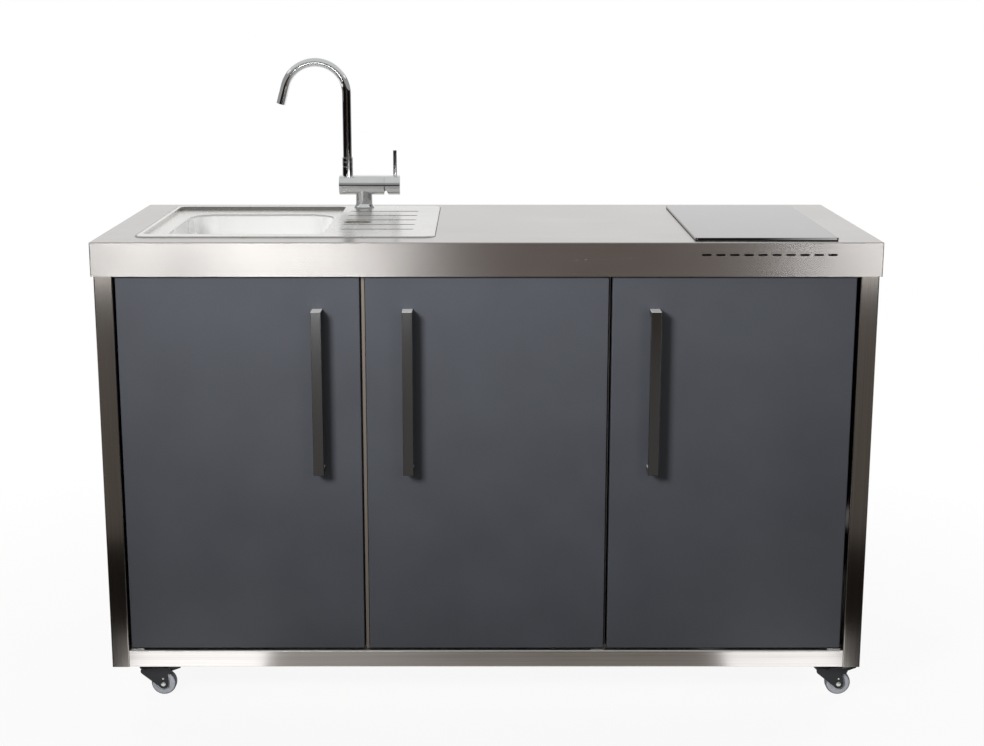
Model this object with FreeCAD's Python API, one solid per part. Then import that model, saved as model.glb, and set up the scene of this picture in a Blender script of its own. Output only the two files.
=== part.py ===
import FreeCAD, Part
import math
import os

from FreeCAD import Vector

# Free-standing outdoor kitchen unit on castors, in millimetres.
# X runs from left to right, Y from front to back, Z up from the floor.
# The origin is on the floor, under the middle of the whole unit.

# Worktop: a folded steel pan with a deep apron all round
worktop_length = 1500.0
worktop_depth = 600.0
worktop_height = 930.0
worktop_sheet = 1.5
worktop_fold_radius = 2.0
apron_height = 65.5
hem_height = 12.0
hem_fold = 1.0
cutout_corner = 10.0

# Vent slots in the apron, in a row in front of the hob
vent_count = 10
vent_length = 18.0
vent_height = 4.0
vent_pitch = 26.5
vent_drop = 24.0
vent_from_right = 215.0

# Steel frame of square tube
castor_height = 76.0
post_size = 35.0
post_inset = 4.5
tube_wall = 1.5
tube_corner_radius = 2.5
top_rail_height = 28.0
bearer_width = 20.0
bearer_height = 35.0
bearer_from_sink = 35.0
gusset_reach = 60.0
gusset_thickness = 3.0
mullion_width = 30.0
mullion_depth = 15.0
mullion_strip_width = 6.0
mullion_strip_reach = 14.0
mullion_strip_gap = 1.5

# Sheet panels between the tubes
panel_sheet = 1.2
panel_inset = 8.0
panel_return = 15.0
floor_sheet = 1.5
floor_rest = 10.0
partition_sheet = 1.5
partition_return = 20.0

# Round outlet in the rear panel, lined by a rubber grommet
grommet_bore_radius = 28.0
grommet_wall = 3.0
grommet_lip = 5.0
grommet_lip_thickness = 2.5
grommet_rise = 90.0
grommet_from_right = 190.0

# Doors
door_count = 3
door_setback = 9.0
door_thickness = 20.0
door_sheet = 1.5
door_edge_radius = 2.0
door_left_gap = 4.5
door_first_gap = 10.5
door_second_gap = 7.0
door_right_gap = 6.0
door_top_gap = 1.5
door_bottom_gap = 3.5
door_stop_gap = 1.0
liner_sheet = 1.2
pivot_block_size = 22.0

# Pivots at the foot and the head of each door
pivot_inset = 12.0
pivot_radius = 4.0
pivot_length = 14.0
pivot_clearance = 0.08
pivot_tip_gap = 1.0
pivot_plate_length = 26.0
pivot_plate_depth = 20.0
pivot_plate_thickness = 2.0

# Bar handles
handle_width = 20.0
handle_length = 320.0
handle_projection = 36.0
handle_grip = 9.0
handle_leg = 12.0
handle_from_edge = 81.0
handle_from_top = 62.0
handle_edge_radius = 1.0
handle_stud_radius = 2.5
handle_stud_length = 8.0
handle_stud_clearance = 0.1

# Inset sink: rim, sunken tray, bowl and drainer in one pressing
sink_width = 580.0
sink_from_left = 71.0
sink_from_front = 62.0
sink_from_back = 38.0
sink_sheet = 1.0
sink_corner = 25.0
sink_cutout_margin = 9.0
rim_rise = 2.5
rim_bevel = 3.0
tray_left_margin = 11.0
tray_front_margin = 35.0
tray_back_margin = 21.0
tray_width = 362.0
tray_sink = 7.0
tray_corner = 14.0
bowl_width = 307.0
bowl_depth = 150.0
bowl_from_tray_left = 38.0
bowl_from_tray_front = 21.0
bowl_from_tray_back = 80.0
bowl_corner = 55.0
bowl_draft = 6.0
bowl_floor_radius = 22.0
bowl_lip_radius = 4.0
groove_count = 5
groove_length = 146.0
groove_width = 9.0
groove_sink = 2.5
groove_from_left = 389.0
groove_from_front = 107.0
groove_from_back = 105.0
pan_length = 56.0
pan_width = 44.0
pan_sink = 4.0
pan_pitch_share = 1.5

# Waste fitting and the strainer basket that lies in it
waste_flange_radius = 57.0
waste_flange_thickness = 1.5
waste_body_radius = 42.0
waste_wall = 2.0
waste_depth = 42.0
waste_hole_clearance = 1.5
waste_spigot_radius = 22.0
waste_spigot_length = 25.0
backnut_radius = 54.0
backnut_height = 8.0
basket_clearance = 0.3
basket_rim_radius = 46.0
basket_radius = 37.0
basket_depth = 30.0
basket_wall = 1.0
basket_knob_radius = 9.0
basket_knob_rise = 14.0
basket_stem_radius = 4.0
basket_hole_radius = 2.5
basket_hole_count = 12

# Bottle trap under the waste
trap_nut_radius = 30.0
trap_nut_height = 22.0
trap_nut_gap = 4.0
trap_bottle_radius = 32.0
trap_bottle_length = 105.0
trap_cup_radius = 35.0
trap_cup_length = 30.0
trap_outlet_radius = 20.0
trap_outlet_wall = 2.5
trap_outlet_reach = 130.0
trap_outlet_nut_radius = 27.0
trap_outlet_nut_length = 18.0
trap_outlet_drop = 24.0
trap_edge_radius = 3.0
trap_socket_clearance = 0.2

# Mixer tap: heights are above the sink's rim
tap_from_sink_left = 413.5
tap_from_sink_back = 34.0
tap_axis_height = 49.5
tap_body_radius = 21.5
tap_body_left = 53.5
tap_body_right = 44.5
tap_end_radius = 1.5
tap_column_radius = 18.0
tap_foot_radius = 22.0
tap_foot_height = 9.0
tap_foot_edge = 2.25
tap_shank_radius = 16.5
tap_shank_length = 48.0
tap_hole_clearance = 1.0
tap_nut_radius = 25.0
tap_nut_height = 9.0
tap_nut_sides = 6
tap_nut_clearance = 0.05
tap_washer_radius = 22.0
tap_washer_height = 2.0
tap_seam_width = 0.6
tap_seam_depth = 0.5
tap_seam_from_left = 31.0
spout_offset = 35.0
spout_radius = 9.75
spout_wall = 1.5
spout_bend_radius = 67.0
spout_rise = 246.0
spout_lean_angle = 15.0
spout_tip_length = 18.0
spout_socket_depth = 24.0
spout_clearance = 0.08
spout_boss_radius = 11.6
spout_boss_top = 89.0
swivel_gap = 0.3
collar_height = 20.0
collar_edge_radius = 0.8
collar_clearance = 0.05
aerator_radius = 10.0
aerator_length = 23.0
aerator_wall = 1.5
aerator_mesh_depth = 3.0
aerator_mesh_thickness = 2.0

# Cartridge, its turning stem, and the lever that tilts on the stem
cartridge_radius = 17.0
cartridge_length = 38.0
cartridge_clearance = 0.2
cartridge_recess = 2.0
stem_radius = 6.0
stem_length = 30.0
stem_clearance = 0.08
stem_head_radius = 6.5
cap_gap = 0.5
cap_length = 34.0
cap_wall = 4.0
cap_pivot_inset = 6.5
cap_relief_angle = 24.0
cap_end_radius = 1.2
trunnion_radius = 3.0
trunnion_clearance = 0.08
trunnion_seat = 2.5
lever_pin_radius = 4.0
lever_pin_top = 75.5
lever_pin_from_end = 11.0
lever_pin_clearance = 0.05
lever_pin_end_radius = 0.8

# Built-in hob
hob_width = 272.0
hob_from_right = 82.0
hob_from_front = 18.0
hob_from_back = 62.0
hob_glass_thickness = 4.0
hob_glass_corner = 4.0
hob_glass_bevel = 0.6
hob_seal_thickness = 2.0
hob_seal_width = 8.0
hob_seal_setback = 0.5
hob_case_side_margin = 9.0
hob_case_end_margin = 14.0
hob_case_height = 50.0
hob_case_edge = 6.0
hob_case_corner = 9.0
hob_cutout_clearance = 3.0
hob_fan_radius = 38.0
hob_fan_depth = 3.0
hob_fan_rib_width = 5.0
hob_fan_ribs = 3
hob_fan_place_shares = (0.25, 0.75)
hob_gland_radius = 10.0
hob_gland_bore_radius = 4.5
hob_gland_length = 20.0
hob_gland_from_side = 50.0

# Castors: a swivel head, a fork with trail, a wheel, and a brake pedal at the front
castor_from_side = 67.5
castor_from_end = 54.0
castor_plate_size = 62.0
castor_plate_thickness = 3.0
castor_plate_corner = 6.0
castor_bolt_spacing = 47.0
castor_bolt_radius = 3.0
castor_bolt_clearance = 0.2
castor_bolt_head_radius = 5.0
castor_bolt_head_height = 4.0
castor_race_radius = 17.0
castor_race_height = 6.5
castor_race_gap = 0.4
kingpin_radius = 4.0
kingpin_clearance = 0.08
kingpin_head_radius = 7.0
kingpin_head_height = 2.5
kingpin_head_gap = 0.3
fork_dome_radius = 15.0
fork_dome_height = 7.0
fork_crown_radius = 19.0
fork_crown_thickness = 3.0
fork_leg_thickness = 2.5
fork_trail = 30.0
fork_front_radius = 7.0
fork_front_setback = 8.0
fork_axle_boss_radius = 10.0
wheel_radius = 25.0
wheel_width = 18.0
wheel_core_radius = 18.0
wheel_shoulder_radius = 4.0
hub_width = 21.0
hub_boss_radius = 7.0
hub_dish_depth = 3.0
hub_dish_rim = 2.5
hub_side_gap = 1.0
axle_radius = 3.0
axle_clearance = 0.08
axle_head_radius = 5.0
axle_head_height = 3.0
pedal_pivot_x = 42.0
pedal_pivot_z = 52.5
pedal_pin_radius = 2.0
pedal_pin_clearance = 0.08
pedal_lobe_radius = 5.5
pedal_barrel_radius = 3.6
pedal_width = 20.0
pedal_thickness = 6.0
pedal_reach = 25.0
pedal_rise_angle = 20.0
pedal_tip_radius = 2.4
pedal_cam_radius = 3.0
pedal_cam_offset = 1.5

# How far a cutter runs past what it cuts, and the least gap that counts as one
cut_overrun = 5.0
least_gap = 0.001

# Places that follow from the sizes above
handle_reach = handle_projection - door_setback
front = handle_reach - (worktop_depth + handle_reach) / 2
back = front + worktop_depth
half_length = worktop_length / 2
top = worktop_height
pan_ceiling = top - worktop_sheet
apron_foot = top - apron_height
post_x = half_length - post_inset
post_front = front + post_inset
post_back = back - post_inset
bay_x = post_x - post_size
bay_front = post_front + post_size
bay_back = post_back - post_size
rail_top = castor_height + post_size
door_face = front + door_setback
door_back = door_face + door_thickness
stop_y = door_back + door_stop_gap
door_foot = rail_top + door_bottom_gap
door_head = apron_foot - door_top_gap
door_gaps = (door_left_gap, door_first_gap, door_second_gap, door_right_gap)
door_width = (2 * bay_x - sum(door_gaps)) / door_count
top_rail_foot = door_head + door_bottom_gap
top_rail_head = top_rail_foot + top_rail_height
bearer_foot = pan_ceiling - bearer_height
floor_top = rail_top + floor_sheet
rear_panel_back = post_back - panel_inset
rear_panel_front = rear_panel_back - panel_sheet
rim_top = top + rim_rise
sink_left = sink_from_left - half_length
sink_right = sink_left + sink_width
sink_front = front + sink_from_front
sink_back = back - sink_from_back
tray_left = sink_left + tray_left_margin
tray_right = tray_left + tray_width
tray_front = sink_front + tray_front_margin
tray_back = sink_back - tray_back_margin
tray_floor = rim_top - tray_sink
bowl_left = tray_left + bowl_from_tray_left
bowl_right = bowl_left + bowl_width
bowl_front = tray_front + bowl_from_tray_front
bowl_back = tray_back - bowl_from_tray_back
bowl_floor = tray_floor - bowl_depth
bowl_x = (bowl_left + bowl_right) / 2
bowl_y = (bowl_front + bowl_back) / 2
groove_front = sink_front + groove_from_front
groove_pitch = (sink_back - groove_from_back - groove_front) / (groove_count - 1)
tap_x = sink_left + tap_from_sink_left
tap_y = sink_back - tap_from_sink_back
tap_axis_z = rim_top + tap_axis_height
tap_face_x = tap_x + tap_body_right
spout_x = tap_x - spout_offset
spout_base = tap_axis_z + tap_body_radius - spout_socket_depth
spout_bend_z = rim_top + spout_rise
spout_bend_x = spout_x - spout_bend_radius
cap_face_x = tap_face_x + cap_gap
cap_end_x = cap_face_x + cap_length
cap_pivot_x = cap_face_x + cap_pivot_inset
hob_right = half_length - hob_from_right
hob_left = hob_right - hob_width
hob_x = (hob_left + hob_right) / 2
hob_front = front + hob_from_front
hob_back = back - hob_from_back
hob_glass_foot = top + hob_seal_thickness
castor_plate_foot = castor_height - castor_plate_thickness
fork_top = castor_plate_foot - castor_race_height - castor_race_gap
fork_crown_top = fork_top - fork_dome_height
fork_crown_foot = fork_crown_top - fork_crown_thickness
fork_leg_inside = hub_width / 2 + hub_side_gap
fork_leg_outside = fork_leg_inside + fork_leg_thickness
fork_front_z = fork_crown_foot - fork_front_radius + fork_crown_thickness


def box(x0, x1, y0, y1, z0, z1):
    """A block between two corners."""
    return Part.makeBox(x1 - x0, y1 - y0, z1 - z0, Vector(x0, y0, z0))


def rod(x, y, z, radius, length, direction):
    """A round bar that starts at a point and runs along a direction."""
    return Part.makeCylinder(radius, length, Vector(x, y, z), Vector(*direction))


def join(pieces):
    """One solid from pieces that touch or overlap."""
    whole = pieces[0]
    for piece in pieces[1:]:
        whole = whole.fuse(piece)
    return whole.removeSplitter()


def rounded_wire(x0, x1, y0, y1, z, radius):
    """A rectangle with round corners, drawn flat at one height."""
    corners = [
        (x1 - radius, y0 + radius, -90),
        (x1 - radius, y1 - radius, 0),
        (x0 + radius, y1 - radius, 90),
        (x0 + radius, y0 + radius, 180),
    ]
    ends = []
    arcs = []
    for cx, cy, start in corners:
        points = []
        for turn in (0, 45, 90):
            angle = math.radians(start + turn)
            points.append(Vector(cx + radius * math.cos(angle), cy + radius * math.sin(angle), z))
        arcs.append(Part.Arc(*points).toShape())
        ends.append((points[0], points[2]))
    edges = []
    for index, arc in enumerate(arcs):
        edges.append(arc)
        leave = ends[index][1]
        reach = ends[(index + 1) % len(ends)][0]
        if leave.distanceToPoint(reach) > least_gap:
            edges.append(Part.makeLine(leave, reach))
    return Part.Wire(edges)


def rounded_block(x0, x1, y0, y1, z0, z1, radius):
    """An upright block with round corners seen from above."""
    face = Part.Face(rounded_wire(x0, x1, y0, y1, z0, radius))
    return face.extrude(Vector(0, 0, z1 - z0))


def edges_where(shape, test):
    """The edges of a shape whose centre and box pass a test."""
    return [edge for edge in shape.Edges if test(edge)]


def upright(edge):
    """True for a straight edge that runs along Z."""
    frame = edge.BoundBox
    return frame.ZLength > frame.XLength + frame.YLength


def square_tube(x0, x1, y0, y1, z0, z1, axis):
    """A hollow rectangular tube with round edges, open at both ends."""
    outer = box(x0, x1, y0, y1, z0, z1)
    w = tube_wall
    gaps = {
        "x": (0, w, w),
        "y": (w, 0, w),
        "z": (w, w, 0),
    }
    gx, gy, gz = gaps[axis]
    inner = box(x0 + gx, x1 - gx, y0 + gy, y1 - gy, z0 + gz, z1 - gz)
    spans = {"x": x1 - x0, "y": y1 - y0, "z": z1 - z0}

    def along(edge):
        frame = edge.BoundBox
        size = {"x": frame.XLength, "y": frame.YLength, "z": frame.ZLength}[axis]
        return size > spans[axis] / 2

    outer = outer.makeFillet(tube_corner_radius, edges_where(outer, along))
    inner = inner.makeFillet(tube_corner_radius - tube_wall, edges_where(inner, along))
    return outer.cut(inner)


def ring_of(profile, x, y, z, axis=(0, 0, 1)):
    """A turned piece: profile points are (radius, height) about an upright axis."""
    points = [Vector(radius, 0, height) for radius, height in profile]
    face = Part.Face(Part.makePolygon(points + [points[0]]))
    solid = face.revolve(Vector(0, 0, 0), Vector(0, 0, 1), 360)
    turn = FreeCAD.Rotation(Vector(0, 0, 1), Vector(*axis))
    solid.Placement = FreeCAD.Placement(Vector(x, y, z), turn)
    return solid


def flipped(shape):
    """The same piece on the other side of the unit's middle plane."""
    return shape.mirror(Vector(0, 0, 0), Vector(1, 0, 0))


def save(name, shape):
    """Write one sub-part and say what it holds."""
    shape.exportStep("parts/" + name + ".step")
    print(name, len(shape.Solids), "solids", "valid" if shape.isValid() else "NOT VALID")


def save_group(name, solids):
    """Write several like solids as one sub-part."""
    save(name, Part.makeCompound(solids))


def make_worktop():
    outer = box(-half_length, half_length, front, back, apron_foot, top)

    def folded(edge):
        frame = edge.BoundBox
        return upright(edge) or frame.ZMin > (top + apron_foot) / 2

    outer = outer.makeFillet(worktop_fold_radius, edges_where(outer, folded))
    w = worktop_sheet
    hollow = box(-half_length + w, half_length - w, front + w, back - w, apron_foot + hem_height, pan_ceiling)
    h = worktop_sheet + hem_fold
    mouth = box(
        -half_length + h,
        half_length - h,
        front + h,
        back - h,
        apron_foot - cut_overrun,
        apron_foot + hem_height,
    )
    pan = outer.cut(hollow).cut(mouth)
    m = sink_cutout_margin
    sink_hole = rounded_block(
        sink_left + m,
        sink_right - m,
        sink_front + m,
        sink_back - m,
        pan_ceiling - cut_overrun,
        top + cut_overrun,
        cutout_corner,
    )
    side = hob_case_side_margin - hob_cutout_clearance
    end = hob_case_end_margin - hob_cutout_clearance
    hob_hole = rounded_block(
        hob_left + side,
        hob_right - side,
        hob_front + end,
        hob_back - end,
        pan_ceiling - cut_overrun,
        top + cut_overrun,
        cutout_corner,
    )
    return pan.cut(sink_hole).cut(hob_hole).cut(Part.makeCompound(vent_slots()))


def vent_slots():
    slots = []
    start = half_length - vent_from_right - (vent_count - 1) * vent_pitch / 2
    for index in range(vent_count):
        x = start + index * vent_pitch
        slot = rounded_block(
            -vent_length / 2,
            vent_length / 2,
            -vent_height / 2,
            vent_height / 2,
            -cut_overrun,
            worktop_sheet + cut_overrun,
            vent_height / 2,
        )
        slot.rotate(Vector(0, 0, 0), Vector(1, 0, 0), -90)
        slot.translate(Vector(x, front, top - vent_drop))
        slots.append(slot)
    return slots


def tapered_block(x0, x1, y0, y1, z0, z1, low_radius, inset, high_radius):
    """A block whose foot is drawn in by an inset on every side."""
    low = rounded_wire(x0 + inset, x1 - inset, y0 + inset, y1 - inset, z0, low_radius)
    high = rounded_wire(x0, x1, y0, y1, z1, high_radius)
    return Part.makeLoft([low, high], True, True)


def bowl_form(grow, ceiling):
    """The bowl's inner form, or its outer form when it grows by the sheet."""
    form = tapered_block(
        bowl_left - grow,
        bowl_right + grow,
        bowl_front - grow,
        bowl_back + grow,
        bowl_floor - grow,
        ceiling,
        bowl_corner - bowl_draft + grow,
        bowl_draft,
        bowl_corner + grow,
    )
    floor_edges = edges_where(form, lambda edge: edge.BoundBox.ZMax < bowl_floor + sink_sheet)
    return form.makeFillet(bowl_floor_radius + grow, floor_edges)


def pressed_forms(grow, ceiling):
    """The tray, grooves and pan that are pressed into the sink's rim plane."""
    forms = [
        rounded_block(
            tray_left - grow,
            tray_right + grow,
            tray_front - grow,
            tray_back + grow,
            tray_floor - grow,
            ceiling,
            tray_corner + grow,
        )
    ]
    groove_left = sink_left + groove_from_left
    for index in range(groove_count):
        y = groove_front + index * groove_pitch
        half = groove_width / 2 + grow
        forms.append(
            rounded_block(
                groove_left - grow,
                groove_left + groove_length + grow,
                y - half,
                y + half,
                rim_top - groove_sink - grow,
                ceiling,
                half,
            )
        )
    pan_x = groove_left + pan_length / 2
    pan_y = groove_front + pan_pitch_share * groove_pitch
    forms.append(
        rounded_block(
            pan_x - pan_length / 2 - grow,
            pan_x + pan_length / 2 + grow,
            pan_y - pan_width / 2 - grow,
            pan_y + pan_width / 2 + grow,
            rim_top - pan_sink - grow,
            ceiling,
            pan_width / 2 + grow,
        )
    )
    return forms


def lipped(form, level, grow):
    """Rounds the edge over which the tray's floor runs down into the bowl."""
    slack = sink_sheet / 2

    def lip(edge):
        frame = edge.BoundBox
        flat = frame.ZLength < slack and abs(frame.ZMin - level) < slack
        across = frame.XMin > tray_left + slack and frame.XMax < tray_right - slack
        along = frame.YMin > tray_front + slack and frame.YMax < tray_back - slack
        return flat and across and along

    return form.makeFillet(bowl_lip_radius - grow, edges_where(form, lip))


def make_sink():
    edge = Part.makeLoft(
        [
            rounded_wire(sink_left, sink_right, sink_front, sink_back, top, sink_corner),
            rounded_wire(
                sink_left + rim_bevel,
                sink_right - rim_bevel,
                sink_front + rim_bevel,
                sink_back - rim_bevel,
                rim_top,
                sink_corner - rim_bevel,
            ),
        ],
        True,
        True,
    )
    m = sink_cutout_margin + sink_sheet
    under = rounded_block(
        sink_left + m,
        sink_right - m,
        sink_front + m,
        sink_back - m,
        top - cut_overrun,
        rim_top - sink_sheet,
        sink_corner - m,
    )
    skin = edge.cut(under)
    plane = rim_top - sink_sheet / 2
    shells = pressed_forms(sink_sheet, plane)
    outside = join([shells[0], bowl_form(sink_sheet, tray_floor)])
    shells[0] = lipped(outside, tray_floor - sink_sheet, sink_sheet)
    body = join([skin] + shells)
    hollows = pressed_forms(0, rim_top + cut_overrun)
    inside = lipped(join([hollows[0], bowl_form(0, tray_floor)]), tray_floor, 0)
    body = body.cut(inside).cut(Part.makeCompound(hollows[1:]))
    tap_hole = rod(
        tap_x,
        tap_y,
        top - cut_overrun,
        tap_shank_radius + tap_hole_clearance,
        rim_rise + 2 * cut_overrun,
        (0, 0, 1),
    )
    waste_hole = rod(
        bowl_x,
        bowl_y,
        bowl_floor - cut_overrun,
        waste_body_radius + waste_hole_clearance,
        2 * cut_overrun,
        (0, 0, 1),
    )
    return body.cut(tap_hole).cut(waste_hole)


def make_sink_waste():
    inner = waste_body_radius - waste_wall
    spigot_inner = waste_spigot_radius - waste_wall
    foot = -waste_depth - waste_spigot_length
    profile = [
        (spigot_inner, foot),
        (waste_spigot_radius, foot),
        (waste_spigot_radius, -waste_depth),
        (waste_body_radius, -waste_depth + waste_wall),
        (waste_body_radius, -sink_sheet - backnut_height),
        (backnut_radius, -sink_sheet - backnut_height),
        (backnut_radius, -sink_sheet),
        (waste_body_radius, -sink_sheet),
        (waste_body_radius, 0),
        (waste_flange_radius, 0),
        (waste_flange_radius - waste_flange_thickness, waste_flange_thickness),
        (inner + waste_flange_thickness, waste_flange_thickness),
        (inner, 0),
        (inner, -waste_depth + 2 * waste_wall),
        (spigot_inner, -waste_depth + waste_wall),
    ]
    return ring_of(profile, bowl_x, bowl_y, bowl_floor)


def make_strainer_basket():
    rim_foot = waste_flange_thickness + basket_clearance
    rim_head = rim_foot + basket_wall
    foot = rim_foot - basket_depth
    knob_foot = basket_knob_rise - basket_wall * 3
    profile = [
        (0, foot),
        (basket_radius - basket_wall, foot),
        (basket_radius, rim_foot),
        (basket_rim_radius, rim_foot),
        (basket_rim_radius, rim_head),
        (basket_radius - basket_wall, rim_head),
        (basket_radius - 2 * basket_wall, foot + basket_wall),
        (basket_stem_radius, foot + basket_wall),
        (basket_stem_radius, knob_foot),
        (basket_knob_radius, knob_foot + basket_wall),
        (basket_knob_radius, basket_knob_rise - basket_wall),
        (basket_knob_radius - basket_wall, basket_knob_rise),
        (0, basket_knob_rise),
    ]
    basket = ring_of(profile, bowl_x, bowl_y, bowl_floor)
    holes = []
    circle = (basket_radius + basket_stem_radius) / 2
    for index in range(basket_hole_count):
        angle = 2 * math.pi * index / basket_hole_count
        x = bowl_x + circle * math.cos(angle)
        y = bowl_y + circle * math.sin(angle)
        z = bowl_floor + foot - cut_overrun
        holes.append(rod(x, y, z, basket_hole_radius, 2 * cut_overrun, (0, 0, 1)))
    return basket.cut(Part.makeCompound(holes))


def make_bottle_trap():
    head = bowl_floor - waste_depth - trap_nut_gap
    nut_foot = head - trap_nut_height
    bottle_foot = nut_foot - trap_bottle_length
    outlet_z = nut_foot - trap_outlet_drop
    nut = Part.makeCylinder(trap_nut_radius, trap_nut_height, Vector(bowl_x, bowl_y, nut_foot))
    bottle = Part.makeCylinder(trap_bottle_radius, trap_bottle_length, Vector(bowl_x, bowl_y, bottle_foot))
    cup = Part.makeCylinder(trap_cup_radius, trap_cup_length, Vector(bowl_x, bowl_y, bottle_foot))
    rim = edges_where(cup, lambda edge: edge.BoundBox.ZMax < bottle_foot + trap_edge_radius)
    cup = cup.makeFillet(trap_edge_radius, rim)
    pipe = rod(bowl_x, bowl_y, outlet_z, trap_outlet_radius, trap_outlet_reach, (0, 1, 0))
    outlet_nut = rod(
        bowl_x,
        bowl_y + trap_bottle_radius - trap_edge_radius,
        outlet_z,
        trap_outlet_nut_radius,
        trap_outlet_nut_length,
        (0, 1, 0),
    )
    body = join([nut, bottle, cup, pipe, outlet_nut])
    socket = Part.makeCylinder(
        waste_spigot_radius + trap_socket_clearance,
        trap_nut_height + cut_overrun,
        Vector(bowl_x, bowl_y, head - trap_nut_height),
    )
    bore = rod(
        bowl_x,
        bowl_y + trap_bottle_radius,
        outlet_z,
        trap_outlet_radius - trap_outlet_wall,
        trap_outlet_reach,
        (0, 1, 0),
    )
    return body.cut(socket).cut(bore)


def make_tap_body():
    foot = [
        (0, 0),
        (tap_foot_radius, 0),
        (tap_foot_radius, tap_foot_edge),
        (tap_column_radius, tap_foot_height),
        (tap_column_radius, tap_axis_height),
        (0, tap_axis_height),
    ]
    column = ring_of(foot, tap_x, tap_y, rim_top)
    length = tap_body_left + tap_body_right
    barrel = rod(tap_x - tap_body_left, tap_y, tap_axis_z, tap_body_radius, length, (1, 0, 0))
    barrel = barrel.makeFillet(
        tap_end_radius,
        edges_where(barrel, lambda edge: edge.BoundBox.XMax < tap_x - tap_body_left + tap_end_radius),
    )
    boss = rod(
        spout_x, tap_y, tap_axis_z, spout_boss_radius, rim_top + spout_boss_top - tap_axis_z, (0, 0, 1)
    )
    shank = rod(tap_x, tap_y, rim_top - tap_shank_length, tap_shank_radius, tap_shank_length, (0, 0, 1))
    body = join([column, barrel, boss, shank])
    seam_x = tap_x - tap_body_left + tap_seam_from_left
    seam_outer = rod(seam_x, tap_y, tap_axis_z, tap_body_radius + cut_overrun, tap_seam_width, (1, 0, 0))
    seam_inner = rod(seam_x, tap_y, tap_axis_z, tap_body_radius - tap_seam_depth, tap_seam_width, (1, 0, 0))
    keep = rod(tap_x, tap_y, rim_top, tap_column_radius, tap_axis_height, (0, 0, 1))
    seam = seam_outer.cut(seam_inner).cut(keep)
    socket = rod(
        spout_x,
        tap_y,
        spout_base - swivel_gap,
        spout_radius + spout_clearance,
        rim_top + spout_boss_top - spout_base + cut_overrun,
        (0, 0, 1),
    )
    depth = cartridge_length + cartridge_recess
    chamber = rod(
        tap_face_x - depth,
        tap_y,
        tap_axis_z,
        cartridge_radius + cartridge_clearance,
        depth + cut_overrun,
        (1, 0, 0),
    )
    return body.cut(seam).cut(socket).cut(chamber)


def make_tap_shank_nut():
    underside = rim_top - sink_sheet
    washer = rod(
        tap_x, tap_y, underside - tap_washer_height, tap_washer_radius, tap_washer_height, (0, 0, 1)
    )
    corners = []
    for index in range(tap_nut_sides + 1):
        angle = 2 * math.pi * index / tap_nut_sides
        x = tap_x + tap_nut_radius * math.cos(angle)
        y = tap_y + tap_nut_radius * math.sin(angle)
        corners.append(Vector(x, y, underside - tap_washer_height - tap_nut_height))
    nut = Part.Face(Part.makePolygon(corners)).extrude(Vector(0, 0, tap_nut_height))
    hole = rod(
        tap_x,
        tap_y,
        rim_top - tap_shank_length,
        tap_shank_radius + tap_nut_clearance,
        tap_shank_length,
        (0, 0, 1),
    )
    return join([washer, nut]).cut(hole)


def bend_sweep(radius, start_z, tip):
    """The solid inside a round bar that follows the swan neck."""
    rise = Part.makeCylinder(radius, spout_bend_z - start_z, Vector(spout_x, tap_y, start_z))
    circle = Part.makeCircle(radius, Vector(spout_x, tap_y, spout_bend_z), Vector(0, 0, 1))
    disc = Part.Face(Part.Wire(circle))
    sweep = 180 - spout_lean_angle
    bend = disc.revolve(Vector(spout_bend_x, tap_y, spout_bend_z), Vector(0, -1, 0), sweep)
    x, z, direction = spout_end()
    run = rod(x, tap_y, z, radius, tip, direction)
    return join([rise, bend, run])


def spout_end():
    """Where the bend ends, and the direction that the outlet points in."""
    lean = math.radians(spout_lean_angle)
    x = spout_bend_x - spout_bend_radius * math.cos(lean)
    z = spout_bend_z + spout_bend_radius * math.sin(lean)
    return x, z, (-math.sin(lean), 0, -math.cos(lean))


def make_tap_spout():
    outer = bend_sweep(spout_radius, spout_base, spout_tip_length)
    bore = bend_sweep(spout_radius - spout_wall, spout_base - cut_overrun, spout_tip_length + cut_overrun)
    return outer.cut(bore)


def make_tap_collar():
    foot = rim_top + spout_boss_top + swivel_gap
    collar = rod(spout_x, tap_y, foot, spout_boss_radius, collar_height, (0, 0, 1))
    collar = collar.makeFillet(
        collar_edge_radius, edges_where(collar, lambda edge: edge.BoundBox.ZLength < collar_edge_radius)
    )
    bore = rod(
        spout_x,
        tap_y,
        foot - cut_overrun,
        spout_radius + collar_clearance,
        collar_height + 2 * cut_overrun,
        (0, 0, 1),
    )
    return collar.cut(bore)


def make_tap_aerator():
    x, z, direction = spout_end()
    start_x = x + direction[0] * spout_tip_length
    start_z = z + direction[2] * spout_tip_length
    mesh_top = aerator_length - aerator_mesh_depth
    inner = aerator_radius - aerator_wall
    outer = [
        (0, mesh_top - aerator_mesh_thickness),
        (inner, mesh_top - aerator_mesh_thickness),
        (inner, 0),
        (aerator_radius, 0),
        (aerator_radius, aerator_length - aerator_wall / 2),
        (aerator_radius - aerator_wall / 2, aerator_length),
        (inner, aerator_length),
        (inner, mesh_top),
        (0, mesh_top),
    ]
    return ring_of(outer, start_x, tap_y, start_z, direction)


def make_tap_cartridge():
    x = tap_face_x - cartridge_length - cartridge_recess
    body = rod(x, tap_y, tap_axis_z, cartridge_radius, cartridge_length, (1, 0, 0))
    bore = rod(
        tap_face_x - cartridge_recess - stem_length / 2 - cap_gap,
        tap_y,
        tap_axis_z,
        stem_radius + stem_clearance,
        cartridge_length,
        (1, 0, 0),
    )
    return body.cut(bore)


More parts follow.
